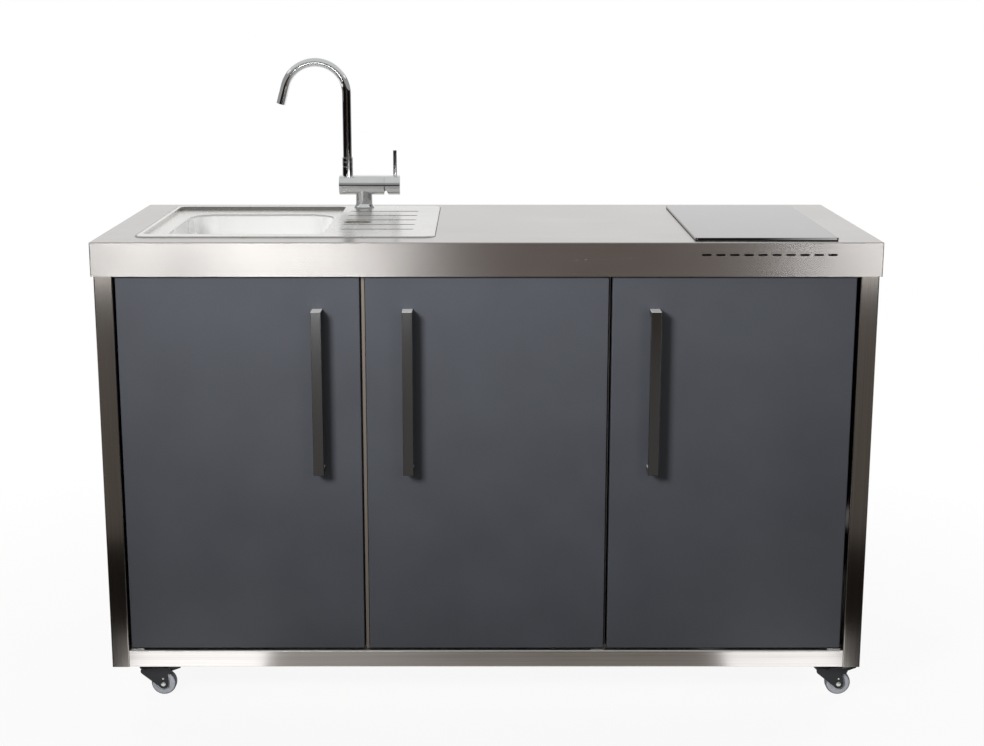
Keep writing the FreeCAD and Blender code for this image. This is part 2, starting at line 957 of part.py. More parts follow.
def make_mixer_stem():
    x = tap_face_x - cartridge_recess - stem_length / 2
    shaft = rod(x, tap_y, tap_axis_z, stem_radius, cap_pivot_x - x, (1, 0, 0))
    head = Part.makeSphere(stem_head_radius, Vector(cap_pivot_x, tap_y, tap_axis_z))
    reach = tap_body_radius - cap_wall + trunnion_seat
    trunnions = rod(cap_pivot_x, tap_y - reach, tap_axis_z, trunnion_radius, 2 * reach, (0, 1, 0))
    return join([shaft, head, trunnions])


def make_tap_handle_cap():
    cap = rod(cap_face_x, tap_y, tap_axis_z, tap_body_radius, cap_length, (1, 0, 0))
    cap = cap.makeFillet(
        cap_end_radius, edges_where(cap, lambda edge: edge.BoundBox.XMin > cap_end_x - cap_end_radius)
    )
    hollow = rod(
        cap_face_x - cut_overrun,
        tap_y,
        tap_axis_z,
        tap_body_radius - cap_wall,
        cap_length - cap_wall + cut_overrun,
        (1, 0, 0),
    )
    relief = box(
        cap_face_x - tap_body_radius,
        cap_face_x,
        tap_y - tap_body_radius - cut_overrun,
        tap_y + tap_body_radius + cut_overrun,
        tap_axis_z - 2 * tap_body_radius,
        tap_axis_z,
    )
    relief.rotate(Vector(cap_face_x, tap_y, tap_axis_z), Vector(0, 1, 0), -cap_relief_angle)
    reach = tap_body_radius - cap_wall + trunnion_seat + swivel_gap
    bearing = rod(
        cap_pivot_x,
        tap_y - reach,
        tap_axis_z,
        trunnion_radius + trunnion_clearance,
        2 * reach,
        (0, 1, 0),
    )
    pin_hole = rod(
        cap_end_x - lever_pin_from_end,
        tap_y,
        tap_axis_z,
        lever_pin_radius + lever_pin_clearance,
        2 * tap_body_radius,
        (0, 0, 1),
    )
    return cap.cut(hollow).cut(relief).cut(bearing).cut(pin_hole)


def make_tap_lever_pin():
    start = tap_body_radius - cap_wall
    pin = rod(
        cap_end_x - lever_pin_from_end,
        tap_y,
        tap_axis_z + start,
        lever_pin_radius,
        lever_pin_top - start,
        (0, 0, 1),
    )
    end = tap_axis_z + lever_pin_top - lever_pin_end_radius
    return pin.makeFillet(lever_pin_end_radius, edges_where(pin, lambda edge: edge.BoundBox.ZMin > end))


def make_hob_glass():
    glass = rounded_block(
        hob_left,
        hob_right,
        hob_front,
        hob_back,
        hob_glass_foot,
        hob_glass_foot + hob_glass_thickness,
        hob_glass_corner,
    )
    middle = hob_glass_foot + hob_glass_thickness / 2
    upper = edges_where(glass, lambda edge: edge.BoundBox.ZMin > middle)
    return glass.makeChamfer(hob_glass_bevel, upper)


def make_hob_seal():
    s = hob_seal_setback
    w = hob_seal_setback + hob_seal_width
    outer = rounded_block(
        hob_left + s, hob_right - s, hob_front + s, hob_back - s, top, hob_glass_foot, hob_glass_corner
    )
    inner = rounded_block(
        hob_left + w,
        hob_right - w,
        hob_front + w,
        hob_back - w,
        top - cut_overrun,
        hob_glass_foot + cut_overrun,
        hob_glass_corner,
    )
    return outer.cut(inner)


def hob_fan_grille(y, foot):
    """A round recess for a fan, with ribs left across it."""
    vent = rod(hob_x, y, foot - cut_overrun, hob_fan_radius, hob_fan_depth + cut_overrun, (0, 0, 1))
    half = hob_fan_rib_width / 2
    for index in range(hob_fan_ribs):
        rib = box(
            hob_x - hob_fan_radius,
            hob_x + hob_fan_radius,
            y - half,
            y + half,
            foot - cut_overrun,
            foot + cut_overrun,
        )
        rib.rotate(Vector(hob_x, y, foot), Vector(0, 0, 1), 180 * index / hob_fan_ribs)
        vent = vent.cut(rib)
    return vent


def make_hob_casing():
    x0 = hob_left + hob_case_side_margin
    x1 = hob_right - hob_case_side_margin
    y0 = hob_front + hob_case_end_margin
    y1 = hob_back - hob_case_end_margin
    foot = hob_glass_foot - hob_case_height
    case = rounded_block(x0, x1, y0, y1, foot, hob_glass_foot, hob_case_corner)
    case = case.makeChamfer(
        hob_case_edge, edges_where(case, lambda edge: edge.BoundBox.ZMax < foot + hob_case_edge / 2)
    )
    grille = [hob_fan_grille(y0 + share * (y1 - y0), foot) for share in hob_fan_place_shares]
    gland = rod(
        x0 + hob_gland_from_side,
        y1 - hob_case_corner,
        hob_glass_foot - hob_case_height / 2,
        hob_gland_radius,
        hob_gland_length + hob_case_corner,
        (0, 1, 0),
    )
    bore = rod(
        x0 + hob_gland_from_side,
        y1,
        hob_glass_foot - hob_case_height / 2,
        hob_gland_bore_radius,
        hob_gland_length + cut_overrun,
        (0, 1, 0),
    )
    return join([case.cut(Part.makeCompound(grille)), gland]).cut(bore)


def make_post(left, at_front):
    x0 = -post_x if left else bay_x
    y0 = post_front if at_front else bay_back
    post = square_tube(x0, x0 + post_size, y0, y0 + post_size, castor_height, pan_ceiling, "z")
    plug = box(
        x0 + tube_wall,
        x0 + post_size - tube_wall,
        y0 + tube_wall,
        y0 + post_size - tube_wall,
        castor_height,
        castor_height + gusset_thickness,
    )
    return join([post, plug])


def make_long_rail(y0):
    return square_tube(-bay_x, bay_x, y0, y0 + post_size, castor_height, rail_top, "x")


def make_side_bottom_rail():
    """The right-hand rail with the two corner gussets that are welded to it."""
    rail = square_tube(bay_x, post_x, bay_front, bay_back, castor_height, rail_top, "y")
    pieces = [rail]
    for y0, y1 in ((bay_front, bay_front + gusset_reach), (bay_back - gusset_reach, bay_back)):
        pieces.append(
            box(
                bay_x - gusset_reach,
                bay_x + tube_wall / 2,
                y0,
                y1,
                castor_height,
                castor_height + gusset_thickness,
            )
        )
    return join(pieces)


def make_front_top_rail():
    return square_tube(-bay_x, bay_x, post_front, stop_y, top_rail_foot, top_rail_head, "x")


def make_rear_top_rail():
    return square_tube(-bay_x, bay_x, post_back - bearer_width, post_back, bearer_foot, pan_ceiling, "x")


def make_cross_rails():
    """Side rails on the posts, and bearers beside the sink and over the partition."""
    rails = []
    for x0 in (-post_x, post_x - bearer_width):
        rails.append(
            square_tube(x0, x0 + bearer_width, bay_front, bay_back, bearer_foot, pan_ceiling, "y")
        )
    for x in (sink_right + bearer_from_sink, door_gap_x(2)):
        x0 = x - bearer_width / 2
        y1 = post_back - bearer_width
        rails.append(square_tube(x0, x0 + bearer_width, stop_y, y1, bearer_foot, pan_ceiling, "y"))
    return rails


def door_left_x(index):
    return -bay_x + sum(door_gaps[: index + 1]) + index * door_width


def door_gap_x(index):
    """The middle of the gap before a door, counted from the left."""
    return door_left_x(index) - door_gaps[index] / 2


def make_floor_panel():
    middle = box(-bay_x, bay_x, stop_y, bay_back + floor_rest, rail_top, floor_top)
    wings = box(-bay_x - floor_rest, bay_x + floor_rest, bay_front, bay_back, rail_top, floor_top)
    return join([middle, wings])


def grommet_place():
    return bay_x - grommet_from_right, rail_top + grommet_rise


def make_rear_panel():
    sheet = box(-bay_x, bay_x, rear_panel_front, rear_panel_back, rail_top, bearer_foot)
    x, z = grommet_place()
    hole = rod(
        x,
        rear_panel_front - cut_overrun,
        z,
        grommet_bore_radius + grommet_wall,
        panel_sheet + 2 * cut_overrun,
        (0, 1, 0),
    )
    return sheet.cut(hole)


def make_service_grommet():
    x, z = grommet_place()
    outer = grommet_bore_radius + grommet_wall
    lip = outer + grommet_lip
    low = -grommet_lip_thickness
    high = panel_sheet + grommet_lip_thickness
    profile = [
        (grommet_bore_radius, low),
        (lip, low),
        (lip, 0),
        (outer, 0),
        (outer, panel_sheet),
        (lip, panel_sheet),
        (lip, high),
        (grommet_bore_radius, high),
    ]
    return ring_of(profile, x, rear_panel_front, z, (0, 1, 0))


def make_side_panel():
    """The right-hand side panel: a sheet with its four edges folded inwards."""
    x1 = post_x - panel_inset
    outer = box(x1 - panel_return, x1, bay_front, bay_back, rail_top, bearer_foot)
    s = panel_sheet
    hollow = box(
        x1 - panel_return - cut_overrun, x1 - s, bay_front + s, bay_back - s, rail_top + s, bearer_foot - s
    )
    folds = outer.cut(hollow)
    notch = box(
        x1 - panel_return - cut_overrun,
        bay_x + floor_rest,
        bay_front - cut_overrun,
        bay_back + cut_overrun,
        rail_top - cut_overrun,
        floor_top,
    )
    return folds.cut(notch)


def make_partition():
    x = door_gap_x(2)
    half = partition_sheet / 2
    sheet = box(x - half, x + half, stop_y, rear_panel_front, floor_top, bearer_foot)
    foot = box(x - half, x + partition_return, stop_y, bay_back, floor_top, floor_top + partition_sheet)
    head = box(
        x - bearer_width / 2, x + half, stop_y, bay_back, bearer_foot - partition_sheet, bearer_foot
    )
    return join([sheet, foot, head])


def make_centre_mullion():
    """A tube behind the gap of the left doors, with a cover strip that fills most of it."""
    x = door_gap_x(1)
    tube = square_tube(
        x - mullion_width / 2,
        x + mullion_width / 2,
        stop_y,
        stop_y + mullion_depth,
        floor_top,
        top_rail_head,
        "z",
    )
    x1 = door_left_x(1) - mullion_strip_gap
    strip = box(
        x1 - mullion_strip_width,
        x1,
        stop_y - mullion_strip_reach,
        stop_y + tube_wall / 2,
        floor_top,
        top_rail_foot,
    )
    return join([tube, strip])


def pivot_place(index):
    """Doors are hinged at the left on the first and at the right on the others."""
    left = door_left_x(index)
    x = left + pivot_inset if index == 0 else left + door_width - pivot_inset
    return x, door_face + door_thickness / 2


def make_pivot_brackets():
    brackets = []
    for index in range(door_count):
        x, y = pivot_place(index)
        half = pivot_plate_length / 2
        y0 = y - pivot_plate_depth / 2
        t = pivot_plate_thickness
        low = box(x - half, x + half, y0, y0 + pivot_plate_depth, rail_top, rail_top + t)
        pin = rod(x, y, rail_top + t, pivot_radius, pivot_length, (0, 0, 1))
        brackets.append(join([low, pin]))
        high = box(x - half, x + half, y0, y0 + pivot_plate_depth, top_rail_foot - t, top_rail_foot)
        pin = rod(x, y, top_rail_foot - t - pivot_length, pivot_radius, pivot_length, (0, 0, 1))
        brackets.append(join([high, pin]))
    return brackets


def pivot_holes(index):
    x, y = pivot_place(index)
    radius = pivot_radius + pivot_clearance
    reach = pivot_length + pivot_tip_gap
    t = pivot_plate_thickness
    low = rod(x, y, rail_top + t, radius, reach, (0, 0, 1))
    high = rod(x, y, top_rail_foot - t - reach, radius, reach, (0, 0, 1))
    return Part.makeCompound([low, high])


def handle_x(index):
    left = door_left_x(index)
    return left + door_width - handle_from_edge if index == 0 else left + handle_from_edge


def stud_heights():
    head = door_head - handle_from_top
    foot = head - handle_length
    return head - handle_leg / 2, foot + handle_leg / 2


def make_door_skin(index):
    x0 = door_left_x(index)
    x1 = x0 + door_width
    pan = box(x0, x1, door_face, door_back, door_foot, door_head)

    def front_edge(edge):
        return edge.BoundBox.YMax < door_face + door_edge_radius

    pan = pan.makeFillet(door_edge_radius, edges_where(pan, front_edge))
    s = door_sheet
    hollow = box(x0 + s, x1 - s, door_face + s, door_back + cut_overrun, door_foot + s, door_head - s)
    skin = pan.cut(hollow).cut(pivot_holes(index))
    studs = []
    for z in stud_heights():
        studs.append(
            rod(
                handle_x(index),
                door_face - cut_overrun,
                z,
                handle_stud_radius + handle_stud_clearance,
                2 * cut_overrun,
                (0, 1, 0),
            )
        )
    return skin.cut(Part.makeCompound(studs))


def make_door_liner(index):
    s = door_sheet
    x0 = door_left_x(index) + s
    x1 = x0 + door_width - 2 * s
    z0 = door_foot + s
    z1 = door_head - s
    sheet = box(x0, x1, door_back - liner_sheet, door_back, z0, z1)
    pieces = [sheet]
    bx0 = x0 if index == 0 else x1 - pivot_block_size
    for low in (z0, z1 - pivot_block_size):
        pieces.append(
            box(
                bx0,
                bx0 + pivot_block_size,
                door_face + s,
                door_back - liner_sheet,
                low,
                low + pivot_block_size,
            )
        )
    return join(pieces).cut(pivot_holes(index))


def make_door_handle(index):
    x = handle_x(index)
    half = handle_width / 2
    head = door_head - handle_from_top
    foot = head - handle_length
    y0 = door_face - handle_projection
    bar = box(x - half, x + half, y0, door_face, foot, head)

    def outside(edge):
        return edge.BoundBox.YMin < door_face - handle_edge_radius

    bar = bar.makeFillet(handle_edge_radius, edges_where(bar, outside))
    opening = box(
        x - half - cut_overrun,
        x + half + cut_overrun,
        y0 + handle_grip,
        door_face + cut_overrun,
        foot + handle_leg,
        head - handle_leg,
    )
    pieces = [bar.cut(opening)]
    for z in stud_heights():
        pieces.append(
            rod(
                x,
                door_face - handle_leg / 2,
                z,
                handle_stud_radius,
                handle_leg / 2 + handle_stud_length,
                (0, 1, 0),
            )
        )
    return join(pieces)


def castor_places():
    """Names and swivel centres of the four castors."""
    x = half_length - castor_from_side
    return {
        "front_left": (-x, front + castor_from_end),
        "front_right": (x, front + castor_from_end),
        "rear_left": (-x, back - castor_from_end),
        "rear_right": (x, back - castor_from_end),
    }


def bolt_places():
    half = castor_bolt_spacing / 2
    return [(-half, -half), (half, -half), (-half, half), (half, half)]


def make_castor_plate(x, y):
    half = castor_plate_size / 2
    plate = rounded_block(
        x - half, x + half, y - half, y + half, castor_plate_foot, castor_height, castor_plate_corner
    )
    race_foot = castor_plate_foot - castor_race_height
    race = rod(x, y, race_foot, castor_race_radius, castor_race_height, (0, 0, 1))
    head_z = fork_crown_foot - kingpin_head_gap - kingpin_head_height
    pin = rod(x, y, head_z, kingpin_radius, castor_plate_foot - head_z, (0, 0, 1))
    head = rod(x, y, head_z, kingpin_head_radius, kingpin_head_height, (0, 0, 1))
    plate = join([plate, race, pin, head])
    holes = []
    for dx, dy in bolt_places():
        holes.append(
            rod(
                x + dx,
                y + dy,
                castor_plate_foot - cut_overrun,
                castor_bolt_radius + castor_bolt_clearance,
                castor_plate_thickness + 2 * cut_overrun,
                (0, 0, 1),
            )
        )
    return plate.cut(Part.makeCompound(holes))


def make_castor_bolts():
    bolts = []
    for x, y in castor_places().values():
        for dx, dy in bolt_places():
            z = castor_plate_foot - castor_bolt_head_height
            head = rod(x + dx, y + dy, z, castor_bolt_head_radius, castor_bolt_head_height, (0, 0, 1))
            shank = rod(
                x + dx,
                y + dy,
                castor_plate_foot,
                castor_bolt_radius,
                castor_plate_thickness,
                (0, 0, 1),
            )
            bolts.append(join([head, shank]))
    return bolts


def link(x0, z0, r0, x1, z1, r1, y0, thickness):
    """A flat plate whose outline wraps two circles, standing in the XZ plane."""
    length = math.hypot(x1 - x0, z1 - z0)
    heading = math.atan2(z1 - z0, x1 - x0)
    side = math.acos((r0 - r1) / length)
    corners = []
    for x, z, r, sign in ((x0, z0, r0, 1), (x1, z1, r1, 1), (x1, z1, r1, -1), (x0, z0, r0, -1)):
        angle = heading + sign * side
        corners.append(Vector(x + r * math.cos(angle), y0, z + r * math.sin(angle)))
    web = Part.Face(Part.makePolygon(corners + [corners[0]])).extrude(Vector(0, thickness, 0))
    ends = [
        rod(x0, y0, z0, r0, thickness, (0, 1, 0)),
        rod(x1, y0, z1, r1, thickness, (0, 1, 0)),
    ]
    return join([web] + ends)


def make_fork_leg(y0):
    front_x = -fork_front_setback
    leg = join(
        [
            link(
                front_x,
                fork_front_z,
                fork_front_radius,
                fork_trail,
                wheel_radius,
                fork_axle_boss_radius,
                y0,
                fork_leg_thickness,
            ),
            link(
                fork_trail,
                wheel_radius,
                fork_axle_boss_radius,
                fork_trail,
                fork_front_z,
                fork_front_radius,
                y0,
                fork_leg_thickness,
            ),
            link(
                front_x,
                fork_front_z,
                fork_front_radius,
                pedal_pivot_x,
                pedal_pivot_z,
                pedal_lobe_radius,
                y0,
                fork_leg_thickness,
            ),
            web_triangle(front_x, y0),
        ]
    )
    return leg


def web_triangle(front_x, y0):
    """Fills the middle of a fork leg, from the crown down to the axle."""
    corners = [
        Vector(front_x, y0, fork_front_z),
        Vector(fork_trail, y0, wheel_radius),
        Vector(fork_trail, y0, fork_front_z),
    ]
    return Part.Face(Part.makePolygon(corners + [corners[0]])).extrude(Vector(0, fork_leg_thickness, 0))


def make_axle_head(side):
    """The riveted head of the axle: a cap of a ball, against the outside of a fork leg."""
    ball_radius = (axle_head_radius**2 + axle_head_height**2) / (2 * axle_head_height)
    face = side * fork_leg_outside
    sunk = side * (ball_radius - axle_head_height)
    ball = Part.makeSphere(ball_radius, Vector(fork_trail, face - sunk, wheel_radius))
    slab = rod(fork_trail, face, wheel_radius, ball_radius, ball_radius, (0, side, 0))
    return ball.common(slab)


def make_castor_fork():
    """A fork about a swivel axis at the origin, with its riveted axle and pedal pin."""
    dome = ring_of(
        [
            (0, fork_crown_foot),
            (fork_crown_radius, fork_crown_foot),
            (fork_crown_radius, fork_crown_top),
            (fork_dome_radius, fork_top),
            (0, fork_top),
        ],
        0,
        0,
        0,
    )
    legs = [make_fork_leg(-fork_leg_outside), make_fork_leg(fork_leg_inside)]
    above = box(
        -castor_height,
        castor_height,
        -castor_height,
        castor_height,
        fork_crown_top,
        fork_crown_top + castor_height,
    )
    legs = [leg.cut(above) for leg in legs]
    axle = rod(fork_trail, -fork_leg_outside, wheel_radius, axle_radius, 2 * fork_leg_outside, (0, 1, 0))
    heads = [make_axle_head(side) for side in (-1, 1)]
    pin = rod(
        pedal_pivot_x,
        -fork_leg_outside,
        pedal_pivot_z,
        pedal_pin_radius,
        2 * fork_leg_outside,
        (0, 1, 0),
    )
    fork = join([dome] + legs + [axle, pin] + heads)
    bore = rod(0, 0, 0, kingpin_radius + kingpin_clearance, castor_height, (0, 0, 1))
    return fork.cut(bore)


def make_castor_hub():
    """The wheel's core, about its own axle, lying along Y."""
    bore = axle_radius + axle_clearance
    half = hub_width / 2
    web = half - hub_dish_depth
    rim = wheel_core_radius - hub_dish_rim
    profile = [
        (bore, -half),
        (hub_boss_radius, -half),
        (hub_boss_radius, -web),
        (rim, -web),
        (rim, -wheel_width / 2),
        (wheel_core_radius, -wheel_width / 2),
        (wheel_core_radius, wheel_width / 2),
        (rim, wheel_width / 2),
        (rim, web),
        (hub_boss_radius, web),
        (hub_boss_radius, half),
        (bore, half),
    ]
    return ring_of(profile, 0, 0, 0, (0, 1, 0))


def make_castor_tyre():
    half = wheel_width / 2
    outer = rod(0, -half, 0, wheel_radius, wheel_width, (0, 1, 0))
    outer = outer.makeFillet(
        wheel_shoulder_radius, edges_where(outer, lambda edge: edge.BoundBox.YLength < half)
    )
    core = rod(0, -wheel_width, 0, wheel_core_radius, 2 * wheel_width, (0, 1, 0))
    return outer.cut(core)


def make_brake_pedal():
    """A pedal about the same swivel axis as its fork."""
    half = pedal_width / 2
    barrel = rod(pedal_pivot_x, -half, pedal_pivot_z, pedal_barrel_radius, pedal_width, (0, 1, 0))
    arm = box(0, pedal_reach, -half, half, -pedal_thickness / 2, pedal_thickness / 2)
    arm = arm.makeFillet(
        pedal_tip_radius, edges_where(arm, lambda edge: edge.BoundBox.XMin > pedal_reach - pedal_tip_radius)
    )
    arm.rotate(Vector(0, 0, 0), Vector(0, 1, 0), -pedal_rise_angle)
    arm.translate(Vector(pedal_pivot_x, 0, pedal_pivot_z))
    cam_z = pedal_pivot_z - pedal_cam_offset
    cam = rod(pedal_pivot_x, -half, cam_z, pedal_cam_radius, pedal_width, (0, 1, 0))
    pedal = join([barrel, arm, cam])
    bore = rod(
        pedal_pivot_x,
        -half - cut_overrun,
        pedal_pivot_z,
        pedal_pin_radius + pedal_pin_clearance,
        pedal_width + 2 * cut_overrun,
        (0, 1, 0),
    )
    return pedal.cut(bore)


def moved(shape, x, y, z):
    copy = shape.copy()
    copy.translate(Vector(x, y, z))
    return copy


os.makedirs("parts", exist_ok=True)

save("worktop", make_worktop())
save("sink", make_sink())
save("sink_waste", make_sink_waste())
save("strainer_basket", make_strainer_basket())
save("bottle_trap", make_bottle_trap())

save("tap_body", make_tap_body())
save("tap_shank_nut", make_tap_shank_nut())
save("tap_spout", make_tap_spout())
save("tap_collar", make_tap_collar())
save("tap_aerator", make_tap_aerator())
save("tap_cartridge", make_tap_cartridge())
save("mixer_stem", make_mixer_stem())
save("tap_handle_cap", make_tap_handle_cap())
save("tap_lever_pin", make_tap_lever_pin())

save("hob_glass", make_hob_glass())
save("hob_seal", make_hob_seal())
save("hob_casing", make_hob_casing())

save("post_front_left", make_post(True, True))
save("post_front_right", make_post(False, True))
save("post_rear_left", make_post(True, False))
save("post_rear_right", make_post(False, False))
save("bottom_rail_front", make_long_rail(post_front))
save("bottom_rail_rear", make_long_rail(bay_back))
side_rail = make_side_bottom_rail()
save_group("bottom_rails_side", [side_rail, flipped(side_rail)])
save("top_rail_front", make_front_top_rail())
save("top_rail_rear", make_rear_top_rail())
save_group("cross_rails", make_cross_rails())

save("floor_panel", make_floor_panel())
save("rear_panel", make_rear_panel())
save("service_grommet", make_service_grommet())
side_panel = make_side_panel()
save("side_panel_right", side_panel)
save("side_panel_left", flipped(side_panel))
save("partition", make_partition())
save("centre_mullion", make_centre_mullion())

for index, side in enumerate(("left", "middle", "right")):
    save("door_" + side + "_skin", make_door_skin(index))
    save("door_" + side + "_liner", make_door_liner(index))
    save("door_" + side + "_handle", make_door_handle(index))
save_group("pivot_brackets", make_pivot_brackets())

fork = make_castor_fork()
hub = make_castor_hub()
tyre = make_castor_tyre()
pedal = make_brake_pedal()
save_group("castor_plates", [make_castor_plate(x, y) for x, y in castor_places().values()])
save_group("castor_bolts", make_castor_bolts())
for name, (x, y) in castor_places().items():
    save("castor_fork_" + name, moved(fork, x, y, 0))
    save("castor_hub_" + name, moved(hub, x + fork_trail, y, wheel_radius))
    save("castor_tyre_" + name, moved(tyre, x + fork_trail, y, wheel_radius))
    if name.startswith("front"):
        save("brake_pedal_" + name, moved(pedal, x, y, 0))
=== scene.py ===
import math

import bpy
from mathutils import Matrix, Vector


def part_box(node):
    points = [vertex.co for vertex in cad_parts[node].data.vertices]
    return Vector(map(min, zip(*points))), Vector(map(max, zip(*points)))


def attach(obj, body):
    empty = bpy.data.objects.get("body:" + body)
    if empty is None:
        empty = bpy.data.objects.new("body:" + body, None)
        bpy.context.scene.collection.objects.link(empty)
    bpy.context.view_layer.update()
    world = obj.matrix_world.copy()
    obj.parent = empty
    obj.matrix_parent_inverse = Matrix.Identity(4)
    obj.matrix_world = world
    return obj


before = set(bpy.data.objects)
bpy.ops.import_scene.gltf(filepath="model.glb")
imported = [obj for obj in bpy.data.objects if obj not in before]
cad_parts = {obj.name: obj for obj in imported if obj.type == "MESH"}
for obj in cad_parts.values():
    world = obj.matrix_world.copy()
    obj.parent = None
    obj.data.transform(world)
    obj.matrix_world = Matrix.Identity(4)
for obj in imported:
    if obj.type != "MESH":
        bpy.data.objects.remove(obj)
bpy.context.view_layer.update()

bpy.ops.object.select_all(action="DESELECT")


# Posts
# The four corner posts are 35 mm square tube of stainless steel. Each is cut to length, brushed along its
# length on a belt and welded to the rails. The grain stands upright, so a face mirrors the room as one
# tall streaked band, dark where the room in front of it is dark.

post_light = "#96918c"
post_dark = "#7d7772"
post_roughness = 0.2
# A belt leaves lines a tenth of a millimetre wide; they are drawn 1.6 mm wide so that they show.
belt_line_width = 0.0016
belt_line_length = 0.5
belt_relief = 0.00003
# The belt wears unevenly, so the shine changes a little in patches 200 mm wide.
wear_patch = 0.2
wear_spread = 0.04
upright = (0.02, 0.03, 1.0)


def linear(code):
    """An sRGB hex colour as linear red, green, blue and alpha."""
    tones = [int(code[start:start + 2], 16) / 255 for start in (1, 3, 5)]
    return [tone / 12.92 if tone <= 0.04045 else ((tone + 0.055) / 1.055) ** 2.4 for tone in tones] + [1.0]


def add(tree, kind, inputs=None, **settings):
    """Add a shader node with its settings, and set or link its sockets."""
    added = tree.nodes.new("ShaderNode" + kind)
    for name, value in settings.items():
        setattr(added, name, value)
    for socket, value in (inputs or {}).items():
        if isinstance(value, bpy.types.NodeSocket):
            tree.links.new(value, added.inputs[socket])
        else:
            added.inputs[socket].default_value = value
    return added


def new_material(name):
    """An empty material and the socket that gives a point's place on the piece, in metres."""
    material = bpy.data.materials.new(name)
    material.use_nodes = True
    material.node_tree.nodes.clear()
    return material, material.node_tree, add(material.node_tree, "TexCoord").outputs["Object"]


def coat(material, *names):
    """Give pieces of the frame their finish."""
    for name in names:
        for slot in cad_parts[name].material_slots:
            slot.material = material


def brushed_steel(name, light, dark, grain, roughness, metallic=1.0):
    """Stainless steel brushed along one axis: long fine lines that stretch each reflection across them."""
    material, tree, place = new_material(name)
    scale = [1 / belt_line_length if share == max(grain) else 1 / belt_line_width for share in grain]
    drawn = add(tree, "Mapping", {"Vector": place, "Scale": scale}).outputs["Vector"]
    lines = add(tree, "TexNoise", {
        "Vector": drawn, "Scale": 1.0, "Detail": 3.0, "Roughness": 0.65}).outputs["Fac"]
    patch = add(tree, "TexNoise", {"Vector": place, "Scale": 1 / wear_patch, "Detail": 2.0}).outputs["Fac"]
    tone = add(tree, "MapRange", {"Value": lines, "From Min": 0.3, "From Max": 0.7}).outputs["Result"]
    colour = add(tree, "MixRGB", {
        "Fac": tone, "Color1": linear(dark), "Color2": linear(light)}).outputs["Color"]
    worn = add(tree, "MapRange", {
        "Value": patch, "To Min": roughness - wear_spread, "To Max": roughness + wear_spread})
    relief = add(tree, "Bump", {"Height": lines, "Strength": 0.1, "Distance": belt_relief}).outputs["Normal"]
    normal = add(tree, "NewGeometry").outputs["Normal"]
    across = add(tree, "VectorMath", {0: normal, 1: grain}, operation="CROSS_PRODUCT").outputs["Vector"]
    shader = add(tree, "BsdfPrincipled", {
        "Base Color": colour, "Metallic": metallic, "Roughness": worn.outputs["Result"], "Normal": relief,
        "Anisotropic": 0.8, "Tangent": across})
    add(tree, "OutputMaterial", {"Surface": shader.outputs["BSDF"]})
    return material


post_steel = brushed_steel("stainless tube brushed upright", post_light, post_dark, upright, post_roughness)
corners = ["front_left", "front_right", "rear_left", "rear_right"]
coat(post_steel, *["post_" + corner for corner in corners])


# Centre mullion
# A narrow upright of folded stainless sheet closes the gap between the left and the middle door. It keeps
# its dull mill skin, which scatters part of the light, so it looks paler and more even than the posts.

mullion_light = "#857d74"
mullion_dark = "#746d65"
mullion_roughness = 0.4
mullion_metallic = 0.15

mullion_steel = brushed_steel(
    "stainless cover strip", mullion_light, mullion_dark, upright, mullion_roughness, mullion_metallic)
coat(mullion_steel, "centre_mullion")


# Rails
# The rails are the same square tube, laid flat between the posts and welded on, with gussets in the
# bottom corners. They are brushed along their length too, so their lines lie level.

sideways = (1.0, 0.02, 0.03)
backward = (0.02, 1.0, 0.03)
rail_light = "#efecea"
rail_dark = "#d6d2cf"
rail_roughness = 0.3

rail_steel = brushed_steel("stainless tube brushed level", rail_light, rail_dark, sideways, rail_roughness)
coat(rail_steel, "bottom_rail_front", "bottom_rail_rear", "top_rail_front", "top_rail_rear")
side_rail_steel = brushed_steel("stainless side tube", rail_light, rail_dark, backward, rail_roughness)
coat(side_rail_steel, "bottom_rails_side", "cross_rails")


# Floor panel and partition
# Both are folded from 1.5 mm stainless sheet with a dull mill finish and screwed to the rails. The
# partition stands behind the gap between the middle and the right-hand door.

sheet_light = "#cfccc8"
sheet_dark = "#b2aea9"
sheet_roughness = 0.38
# A dull mill skin scatters part of the light, so the sheet is not a full mirror.
sheet_metallic = 0.65

sheet_steel = brushed_steel(
    "stainless sheet", sheet_light, sheet_dark, backward, sheet_roughness, sheet_metallic)
coat(sheet_steel, "floor_panel", "partition")


# Side and rear panels
# The cabinet's walls are steel sheet with an anthracite powder coat. The powder melts into a close,
# faintly pebbled skin that takes the light softly.

anthracite_light = "#505359"
anthracite_dark = "#494b51"
coat_roughness = 0.46
# Powder grains are about 0.3 mm; they are drawn 1.8 mm wide so that the skin shows.
powder_grain = 0.0018
powder_relief = 0.00008
# The coat flows a little thicker and thinner in clouds a seventh of a metre wide.
coat_cloud = 1 / 7
coat_shine_spread = 0.05


